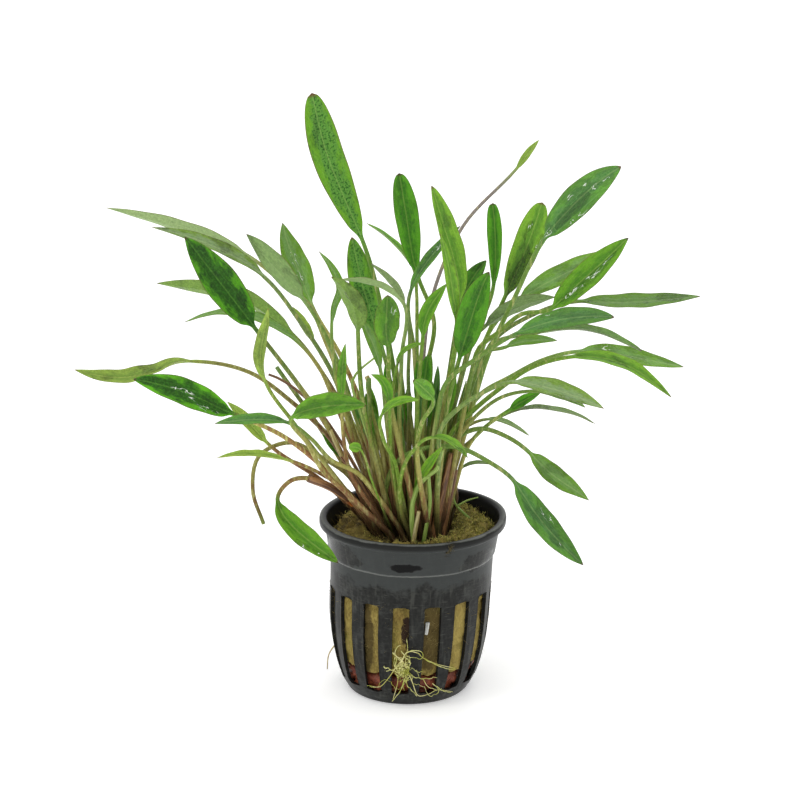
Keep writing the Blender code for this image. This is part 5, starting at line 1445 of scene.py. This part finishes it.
bumps = swell(balls.reshape(-1, 3), 2.6, 52).reshape(balls.shape[:2])[..., None]
balls = balls + (balls - middles[:, None]) * bumps * 0.09
balls[..., 2] = np.maximum(balls[..., 2], CLAY_FLOOR)
base = (np.arange(len(balls)) * len(ball))[:, None, None]
ball_faces = [(base + group[None]).reshape(-1, group.shape[1])
              for group in tube_faces(BALL_ROWS, BALL_COLUMNS, poles=True)]
clay_balls = piece("clay_balls", sheared(balls.reshape(-1, 3)), ball_faces, clay_material)
core_profile = [(0.05, 9.3), (17.0, 9.5), (19.3, 8.9), (18.4, 6.0), (16.0, 3.0), (14.2, 1.8), (0.05, 1.7)]


def pot_centre(radius, height):
    """The pot's own axis."""
    return np.zeros((len(radius), 2))


core_grid = lumpy(turned_grid(core_profile, 90, 0.8, pot_centre), ((3.0, 0.25, 53),))
core_grid[..., 2] = np.maximum(core_grid[..., 2], CLAY_FLOOR)
core_grid = sheared(core_grid)
core = piece("clay_core", core_grid.reshape(-1, 3), tube_faces(*core_grid.shape[:2]), clay_material)
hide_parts("baked_clay")
print("clay balls:", len(balls))

# %% [markdown]
# ## Roots
# White and yellow-green roots have grown out through the slots. The thick strands follow the same lines
# as their solids, laid on the pot. Thin rootlets branch from them. Each is a tube along a smooth curve
# through a few points that are read off the photograph and carried forward to the pot's wall.

# %% Roots
def through(points, per_span=8):
    """Smooth curve through points: Catmull-Rom, cubic in each span with the neighbours' chord as slope."""
    points = np.asarray(points, float)
    padded = np.vstack([2 * points[0] - points[1], points, 2 * points[-1] - points[-2]])
    step = np.linspace(0, 1, per_span, endpoint=False)[None, :, None]
    p0, p1, p2, p3 = padded[:-3, None], padded[1:-2, None], padded[2:-1, None], padded[3:, None]
    spans = 0.5 * (2 * p1 + (p2 - p0) * step + (2 * p0 - 5 * p1 + 4 * p2 - p3) * step ** 2
                   + (3 * p1 - p0 - 3 * p2 + p3) * step ** 3)
    return np.vstack([spans.reshape(-1, 3), points[-1:]])


def tube(line, radius, sides=10):
    """Rings round a line: the section turns as little as it can, and the radius may change along it."""
    tangent = unit(np.gradient(line, axis=0))
    aside = np.zeros_like(line)
    aside[0] = unit(np.cross(tangent[0], (0.31, 0.2, 0.93)))
    for row in range(1, len(line)):
        aside[row] = unit(aside[row - 1] - tangent[row] * (aside[row - 1] @ tangent[row]))
    other = np.cross(tangent, aside)
    turn = np.linspace(0, 2 * np.pi, sides, endpoint=False)[None, :, None]
    radius = np.broadcast_to(radius, len(line))[:, None, None]
    return line[:, None] + (aside[:, None] * np.cos(turn) + other[:, None] * np.sin(turn)) * radius


def tubes(lines, sides=10):
    """Points, faces and places of several tubes; lines is a list of (line, radius at each point).

    A place is the cosine and sine of the angle round the tube, and the way along it in millimetres.
    """
    points, faces, places, count = [], [], [], 0
    for line, radius in lines:
        grid = tube(line, radius, sides)
        faces += tube_faces(*grid.shape[:2], start=count)
        points.append(grid.reshape(-1, 3))
        count += len(points[-1])
        turn = np.linspace(0, 2 * np.pi, sides, endpoint=False)[None] * np.ones((len(line), 1))
        run = np.concatenate([[0], np.cumsum(np.linalg.norm(np.diff(line, axis=0), axis=1))])
        places.append(np.stack([np.cos(turn), np.sin(turn), run[:, None] + 0 * turn], axis=-1).reshape(-1, 3))
    return np.vstack(points), faces, np.vstack(places)


print("points of a curve through three points:", len(through([(0, 0, 0), (1, 1, 0), (2, 0, 0)])))

# %% [markdown]
# ### The lines of the roots
# Each line is a few places read off the photograph. A place is only known across and up, so it is
# carried along its sight line until it meets the pot's wall.

# %% Root lines
def on_pot(across, up, clearance):
    """A point of the drawing plane carried forward until it lies this far off the pot's wall."""
    depth = -BODY_RADII[-2]
    for _ in range(12):
        place = drawn(across, up, depth)
        axis = RIM_SHIFT * place[2] / POT_HEIGHT
        reach = float(np.interp(place[2], BODY_HEIGHTS, BODY_RADII)) + clearance
        depth = -math.sqrt(max(reach ** 2 - (place[0] - axis) ** 2, 1.0))
    return drawn(across, up, depth)


# how far the middle of a strand and of a rootlet lie off the wall, and how far rootlets weave off it
STRAND_OFF, ROOTLET_OFF, ROOTLET_WEAVE, TANGLE_WEAVE = 0.75, 0.4, 0.9, 1.3
ROOT_KNOT = (-3.2, 4.4)
STRANDS = (
    ((-1.5, 7.0), (1.5, 6.6), (2.9, 5.2), (7.0, 3.2), (12.5, 1.8)),
    ((-4.2, 0.5), (-4.5, -3.0), (-5.8, -8.0)),
    ((-1.4, 1.0), (0.0, -3.0), (1.5, -6.7), (4.5, -6.4), (7.3, -5.0), (11.7, -5.6)),
    ((-5.0, 2.0), (-7.3, -1.5), (-9.7, -4.0), (-12.6, -3.7)),
    ((-5.2, 6.2), (-4.6, 8.4), (-3.6, 9.1)),
)
ROOTLETS = (
    # each as points across and up on the drawing plane, with its radius in millimetres
    (0.2, ((-5.7, 7.2), (-4.7, 5.1), (-5.0, 2.3), (-3.4, 0.2), (-1.8, -0.8))),
    (0.18, ((-3.4, 7.4), (-2.1, 5.8), (-2.4, 3.0), (-3.7, 0.9))),
    (0.13, ((-1.8, 11.1), (-1.5, 8.3), (-2.1, 5.8))),
    (0.17, ((-2.1, 6.9), (0.2, 7.6), (1.9, 7.6), (2.9, 6.2), (1.9, 5.0), (0.2, 5.5), (-1.8, 5.8))),
    (0.2, ((-8.4, 2.5), (-7.0, 2.0), (-5.4, 1.3), (-3.1, 0.6), (-0.5, 1.6))),
    (0.14, ((-7.6, 1.3), (-5.7, 1.6), (-4.1, 3.0))),
    (0.22, ((-1.8, 0.2), (-2.8, -2.6), (-3.4, -4.7), (-4.7, -6.7), (-6.0, -8.5))),
    (0.1, ((-6.3, -2.2), (-5.0, -4.3), (-3.7, -4.3), (-1.8, -1.9))),
    (0.1, ((-13.2, -3.5), (-11.5, -3.8), (-9.9, -3.8), (-9.3, -2.4), (-7.6, -1.5), (-6.3, -2.2))),
    (0.2, ((-1.8, 0.2), (0.8, -0.8), (3.5, -1.2), (6.8, -0.8))),
    (0.15, ((2.9, -1.2), (4.2, -3.6), (6.8, -4.7), (8.2, -4.2))),
    (0.15, ((5.5, -2.6), (7.3, -4.7), (6.1, -6.4), (4.5, -6.4), (3.2, -3.6))),
    (0.16, ((6.8, -3.6), (8.4, -5.0), (11.0, -5.7))),
    (0.2, ((3.4, 5.0), (4.8, 4.1), (7.1, 3.0), (9.4, 2.0), (12.3, 1.8))),
    (0.2, ((-1.8, -0.5), (-1.8, -2.9), (-0.5, -4.7), (1.1, -6.6))),
    (0.12, ((0.2, -2.9), (1.6, -3.1), (3.5, -4.0))),
    (0.14, ((-2.4, -1.5), (-2.8, -3.6), (-2.4, -5.0))),
    (0.12, ((0.8, 1.6), (1.5, 0.2), (1.8, -1.2))),
    (0.16, ((-5.0, 5.8), (-5.4, 3.7), (-4.4, 1.6), (-2.1, 0.9))),
    (0.12, ((-0.5, 2.3), (1.5, 0.9), (2.9, 1.3))),
)
TANGLE_MIDDLE, TANGLE_REACH, TANGLE_COUNT = (-2.9, 2.0), (2.2, 4.2), 26
print("the knot lies at", np.round(on_pot(*ROOT_KNOT, 0.0), 1))

# %% [markdown]
# ### How roots look and lie
# Strands run from the knot, rootlets weave off the wall and back, and a tangle of loose loops is drawn
# at random round the knot, because its loops can't be told apart in the photograph.

# %% Root finish
def root_paint(tree, low, high):
    """Living roots: smooth, a little glossy, yellow-green where young and cream where older."""
    spot = add(tree, "TexCoord", {}, "Object")
    mix = add(tree, "TexNoise", {"Vector": spot, "Scale": 260.0, "Detail": 2.0})
    mix = add(tree, "MapRange", {0: mix, 1: 0.35, 2: 0.65}, **SOFT_STEP)
    colour = add(tree, "Mix", {0: mix, 6: linear(low), 7: linear(high)}, 2, data_type="RGBA")
    fine = add(tree, "TexNoise", {"Vector": spot, "Scale": 3000.0})
    normal = add(tree, "Bump", {"Height": fine, "Strength": 0.3, "Distance": 0.0001})
    return {"Base Color": colour, "Roughness": 0.4, "Normal": normal}


def on_wall(points, clearance, weave, seed):
    """A smooth line on the pot through drawn points, which lifts off and back by `weave`."""
    line = through([on_pot(across, up, clearance) for across, up in points])
    draw = np.random.default_rng(seed)
    share = np.linspace(0, 1, len(line))
    rise = np.abs(np.sin(2 * np.pi * (share * draw.uniform(1.0, 2.2) + draw.uniform()))) * weave
    level = unit(line * (1, 1, 0))
    return line + level * rise[:, None]


print("rise of a rootlet off the wall, at most", ROOTLET_WEAVE, "mm")

# %% [markdown]
# ### Strands, rootlets and the stray root
# The strands stand where the solid does. The rootlets are thinner and younger.

# %% Strands and rootlets
knot = on_pot(*ROOT_KNOT, 1.5)
mouth = knot + (0.4, 3.2, -0.8)
lines = [(through([mouth, (mouth + knot) / 2, knot]), 0.25)]
for strand in STRANDS:
    line = through([knot] + [on_pot(across, up, STRAND_OFF) for across, up in strand])
    lines.append((line, np.linspace(0.15, 0.08, len(line))))
root_material = finish("living_root", root_paint, "#b4b050", "#dcd69a")
strand_points, strand_faces = tubes(lines)[:2]
root_strands = piece("root_strands", strand_points, strand_faces, root_material)
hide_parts("front_roots")

lines = []
for number, (radius, rootlet) in enumerate(ROOTLETS):
    line = on_wall(rootlet, ROOTLET_OFF, ROOTLET_WEAVE, 70 + number)
    lines.append((line, np.linspace(radius, radius * 0.5, len(line)) * 0.75))
draw = np.random.default_rng(77)
for number in range(TANGLE_COUNT):
    # a loose loop: points on a small circle whose middle and size are drawn within the tangle
    turn = draw.uniform(0, 2 * np.pi) + np.linspace(0, draw.uniform(2.5, 5.5), 5)
    middle = TANGLE_MIDDLE + draw.uniform(-0.7, 0.7, 2) * TANGLE_REACH
    loop = middle + np.stack([np.cos(turn), np.sin(turn)], axis=1) * draw.uniform(0.6, 1.7, (5, 1))
    line = on_wall(loop, ROOTLET_OFF, TANGLE_WEAVE, 100 + number)
    lines.append((line, np.linspace(0.11, 0.07, len(line))))
rootlet_points, rootlet_faces = tubes(lines, sides=7)[:2]
young_root = finish("young_root", root_paint, "#a8ac40", "#d8d68e")
rootlets = piece("rootlets", rootlet_points, rootlet_faces, young_root)

LEFT_ROOT = ((-20.2, 2.6, 10.6), (-21.6, 2.5, 10.0), (-23.2, 2.2, 7.2), (-23.6, 2.0, 3.0))
line = through(LEFT_ROOT, 12)
stray_points, stray_faces = tubes([(line, np.linspace(0.3, 0.15, len(line)))])[:2]
stray = piece("stray_root", stray_points, stray_faces, finish("old_root", root_paint, "#a08a58", "#cfbe8e"))
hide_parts("left_root")
print("roots:", len(STRANDS) + len(ROOTLETS) + TANGLE_COUNT + 1)

# %% [markdown]
# ## Stubs, sheaths and a seedling
# Between the leaves stand the remains of older ones: brown sheaths, cut stubs with cream ends, a rotting
# stalk with a root of its own, and a pale seedling on the wool. They are tubes like the roots, drawn on
# the same plane, with a depth for each point. One tiny round leaf stands in front of them.

# %% Stub finish
def stub_paint(tree, low, high):
    """Old stalk tissue: fibrous, with long streaks of a paler colour."""
    place = add(tree, "Attribute", {}, "Vector", attribute_name="tube_place")
    long = add(tree, "Mapping", {"Vector": place, "Scale": (1.6, 1.6, 0.14)})
    streak = add(tree, "TexNoise", {"Vector": long, "Scale": 1.0, "Detail": 3.0, "Roughness": 0.6})
    streak = add(tree, "MapRange", {0: streak, 1: 0.4, 2: 0.66}, **SOFT_STEP)
    colour = add(tree, "Mix", {0: streak, 6: linear(low), 7: linear(high)}, 2, data_type="RGBA")
    normal = add(tree, "Bump", {"Height": streak, "Strength": 0.5, "Distance": 0.0002})
    return {"Base Color": colour, "Roughness": 0.45, "Normal": normal}


print("streaks of old tissue are stretched", round(1.6 / 0.14), "times along the stalk")

# %% [markdown]
# ### The tubes of the remains
# Each row is one finish and all the tubes that have it.

# %% Small remains
REMAINS = {
    # finish: darker and paler colour, then tubes: radius at both ends, points across, up and behind
    "brown_sheath": ("#56361f", "#a87c50", (
        (1.25, 0.9, ((5.4, 41, -8), (7.2, 50, -8), (9.0, 59, -8), (11.0, 68, -8))),
        (1.05, 0.7, ((8.2, 42, -6), (10.0, 52, -6), (12.2, 63, -6))),
        (0.8, 0.55, ((3.4, 41, -8), (5.4, 52, -9), (7.4, 64, -9), (9.0, 74, -9))),
        (1.2, 1.1, ((-30.0, 60.6, -10.2), (-23.8, 57.9, -8.1), (-18.3, 54.0, -6.3))),
        (0.9, 0.8, ((0.6, 41, -8), (2.0, 49, -9), (2.7, 55, -9), (3.2, 60, -9))),
        (0.6, 0.35, ((-7.0, 42.5, -4), (-13.0, 57, -5), (-20.4, 71, -6), (-27.0, 81, -7), (-33.4, 87.2, -8),
                     (-37.8, 90.2, -8), (-41.0, 91.6, -8))),
        (0.75, 0.55, ((-6.5, 43, -5), (-13.0, 55, -8), (-20.6, 67.5, -10))))),
    "rotting_node": ("#8a4a1c", "#c07a34", (
        (1.3, 1.15, ((-18.4, 54.1, -6.3), (-17.8, 53.6, -6.1), (-17.0, 52.7, -5.9))),)),
    "cut_cream": ("#a08c4c", "#ddd29a", (
        (0.65, 0.55, ((0.0, 40.5, -13), (0.8, 45.5, -13.5), (1.7, 50.6, -13.5))),
        (0.85, 0.3, ((-17.2, 52.8, -5.9), (-15.2, 50.6, -3), (-13.2, 48.2, 3))),
        (0.75, 0.7, ((-12.5, 89.6, -10), (-12.9, 90.4, -10), (-13.2, 91.0, -10))),
        (0.55, 0.5, ((-20.5, 67.3, -10), (-22.0, 71.0, -10.5), (-23.5, 75.0, -11))))),
    "perlite": ("#8c8e88", "#d0d0ca", (
        (0.62, 0.5, ((4.3, 16.3, -21.9), (4.1, 14.4, -21.9), (3.8, 12.5, -21.9))),)),
    "seedling_stem": ("#7c9c3c", "#b0c86c", (
        (0.4, 0.25, ((17.0, 47.6, 1), (12.8, 51.8, 1), (11.7, 54.6, 1), (11.7, 58.8, 1))),
        (0.35, 0.15, ((12.8, 52.2, 1), (15.5, 53.8, 1), (18.7, 54.8, 1))),
        (0.5, 0.28, ((-4.0, 42.5, -5), (-9.0, 60, -9), (-14.0, 77, -12), (-17.2, 87.5, -14), (-16.6, 91, -14),
                     (-14.5, 93.5, -14), (-10.3, 97, -14))),
        (0.8, 0.55, ((0.3, 41, -12), (-0.3, 47, -13), (-0.1, 53, -14), (1.5, 58, -14.5), (3.9, 61, -14.5),
                     (6.8, 63.6, -14), (8.2, 69.2, -13.5))),
        (0.6, 0.5, ((3.0, 41, -12), (4.7, 52.0, -13), (4.6, 58.0, -14), (4.0, 64.0, -14),
                    (2.0, 69.0, -13))))),
}
for name, (low, high, runs) in REMAINS.items():
    lines = []
    for foot_radius, end_radius, points in runs:
        line = through([drawn(*point) for point in points])
        lines.append((line, np.linspace(foot_radius, end_radius, len(line))))
    points, faces, places = tubes(lines, sides=9)
    remains = piece(name, points, faces, finish(name, stub_paint, low, high), tube_place=places)


print("tubes of the remains:", sum(len(row[2]) for row in REMAINS.values()))

# %% [markdown]
# ### A leaf through drawn points
# Its path is laid through drawn points, with its upper face to the camera.

# %% Round leaf
def drawn_leaf(stalk, blade, radius, width):
    """The path of a leaf that faces the camera, through points given across, up and behind the plane."""
    middle = np.array([drawn(*point) for point in (*stalk, *blade)])
    out = np.tile(unit(eye - middle.mean(axis=0)), (len(middle), 1))
    across = unit(np.cross(out, np.gradient(middle, axis=0)))
    stalk_places = np.linspace(-1, 0, len(stalk), endpoint=len(blade) == 0)
    along = np.concatenate([stalk_places, np.linspace(0, 1, len(blade))])
    return middle, across, out, radius * np.ones(len(middle)), along, width


ROUND_STALK = ((-5.0, 42, -8), (-9.0, 52, -13), (-12.2, 61, -17), (-14.4, 68.2, -20))
ROUND_BLADE = ((-15.0, 69.2, -20.5), (-16.2, 69.8, -20.8), (-18.4, 69.9, -21))
round_leaf = drawn_leaf(ROUND_STALK, ROUND_BLADE, 0.3, 2.9)
leaf_piece("round_leaf", round_leaf, leaf_materials["bright"], 0.6, 0.25, 0.0, 90, 0.0, 0.2, -0.6)
print("points of the round leaf's path:", len(round_leaf[0]))

# %% [markdown]
# ## The dense middle
# The leaves of the first weeks are gone, but their stalks still fill the middle of the tuft. They fan
# out from the rootstock and end, thin and withered, among the stalks of the living leaves. Between them
# stand narrow inner leaves that have not grown through the tuft yet.

# %% Withered stalks
WITHERED_COUNT = 46
FAN_FOOT, FAN_TOP, FAN_START, FAN_HEIGHT = 8.0, 19.5, 43.0, 91.0
FAN_POINTS = 9
WITHERED_RADII = np.array([0.75, 0.74, 0.72, 0.69, 0.65, 0.6, 0.52, 0.4, 0.15])
WITHERED_KINDS = ("grey_green", "bright", "yellow_green")
INNER_KINDS = ("deep", "fresh", "blue_green")
INNER_STALK_POINTS, INNER_STALK_RADIUS = 6, 0.6
draw = np.random.default_rng(17)
for number in range(WITHERED_COUNT):
    # the fan is widest at its top, and highest in its middle
    share = -1 + 2 * (number + draw.uniform(0.2, 0.8)) / WITHERED_COUNT
    foot_across = FAN_FOOT * share + draw.uniform(-0.6, 0.6)
    top_across = min(FAN_TOP * share - 2.0 + draw.uniform(-6.0, 6.0), FAN_TOP - 4.0)
    top_up = FAN_HEIGHT - 14 * share ** 2 + draw.uniform(-8, 8)
    ways = np.linspace(0, 1, FAN_POINTS)
    spread = foot_across + (top_across - foot_across) * ways ** 1.25
    climb = FAN_START + (top_up - FAN_START) * ways
    behind = np.full(FAN_POINTS, draw.uniform(-7, 7))
    line = np.stack([spread, climb, behind], axis=1)
    tone, warm = draw.uniform(-0.8, 0.2) - 0.3 * share, draw.uniform(-0.1, 0.7) - 0.35 * (share > 0)
    turn, seed = number // 2 % 3, 95 + number
    if number % 2:
        stalk, blade = line[:INNER_STALK_POINTS], line[INNER_STALK_POINTS:]
        narrow = drawn_leaf(stalk, blade, INNER_STALK_RADIUS, draw.uniform(1.8, 2.8))
        leaf_piece(f"inner_leaf_{number + 1:02d}", narrow, leaf_materials[INNER_KINDS[turn]],
                   0.8, 0.3, 0.05, seed, tone + 0.6, 0.3, warm)
    else:
        withered = drawn_leaf(line, (), WITHERED_RADII, 0.0)
        leaf_piece(f"withered_stalk_{number + 1:02d}", withered, leaf_materials[WITHERED_KINDS[turn]],
                   0.9, 0.3, 0.0, seed, tone, 0.1, warm)
print("stalks and leaves of the middle:", WITHERED_COUNT)

# %% [markdown]
# ## Floor, light and sky
# The photograph was taken on a white table that runs out of sight, under a large soft light.

# %% Floor and light
def floor_paint(tree):
    """White card, lit from below as on a light table, so that shadows on it stay faint."""
    grain = add(tree, "TexNoise", {"Scale": 60.0, "Detail": 3.0})
    shade = add(tree, "Mix", {0: grain, 6: linear("#fbfbfb"), 7: linear("#f8f8f8")}, 2, data_type="RGBA")
    return {"Base Color": shade, "Roughness": 0.9, "Emission Color": (1.0, 1.0, 1.0, 1.0),
            "Emission Strength": 0.3}


FLOOR_REACH = 6000.0
corner = np.array([[-1, -1, 0], [1, -1, 0], [1, 1, 0], [-1, 1, 0]]) * FLOOR_REACH
floor = piece("floor", corner, [np.array([[0, 1, 2, 3]])], finish("white_card", floor_paint))

world = bpy.data.worlds.new("studio")
bpy.context.scene.world = world
world.use_nodes = True
world.node_tree.nodes["Background"].inputs["Color"].default_value = (1.0, 1.0, 1.0, 1.0)
world.node_tree.nodes["Background"].inputs["Strength"].default_value = 0.82

LIGHTS = (
    # name, place in metres, width in metres, power in watts
    ("soft_box_above", (-0.15, -0.2, 1.6), 1.4, 7.0),
    ("soft_box_back", (0.35, 0.9, 0.9), 0.3, 1.6),
    ("soft_box_left", (-0.8, -0.5, 0.9), 0.25, 1.2),
)
for name, place, width, power in LIGHTS:
    lamp = bpy.data.lights.new(name, "AREA")
    lamp.size = width
    lamp.energy = power
    stand = bpy.data.objects.new(name, lamp)
    bpy.context.scene.collection.objects.link(stand)
    stand.location = place
    away = np.array(place) - (0, 0, 0.1)
    stand.rotation_euler = (math.atan2(math.hypot(away[0], away[1]), away[2]), 0,
                            math.atan2(away[0], -away[1]))
bpy.context.scene.view_settings.view_transform = "Standard"
print("lamps:", len(LIGHTS))
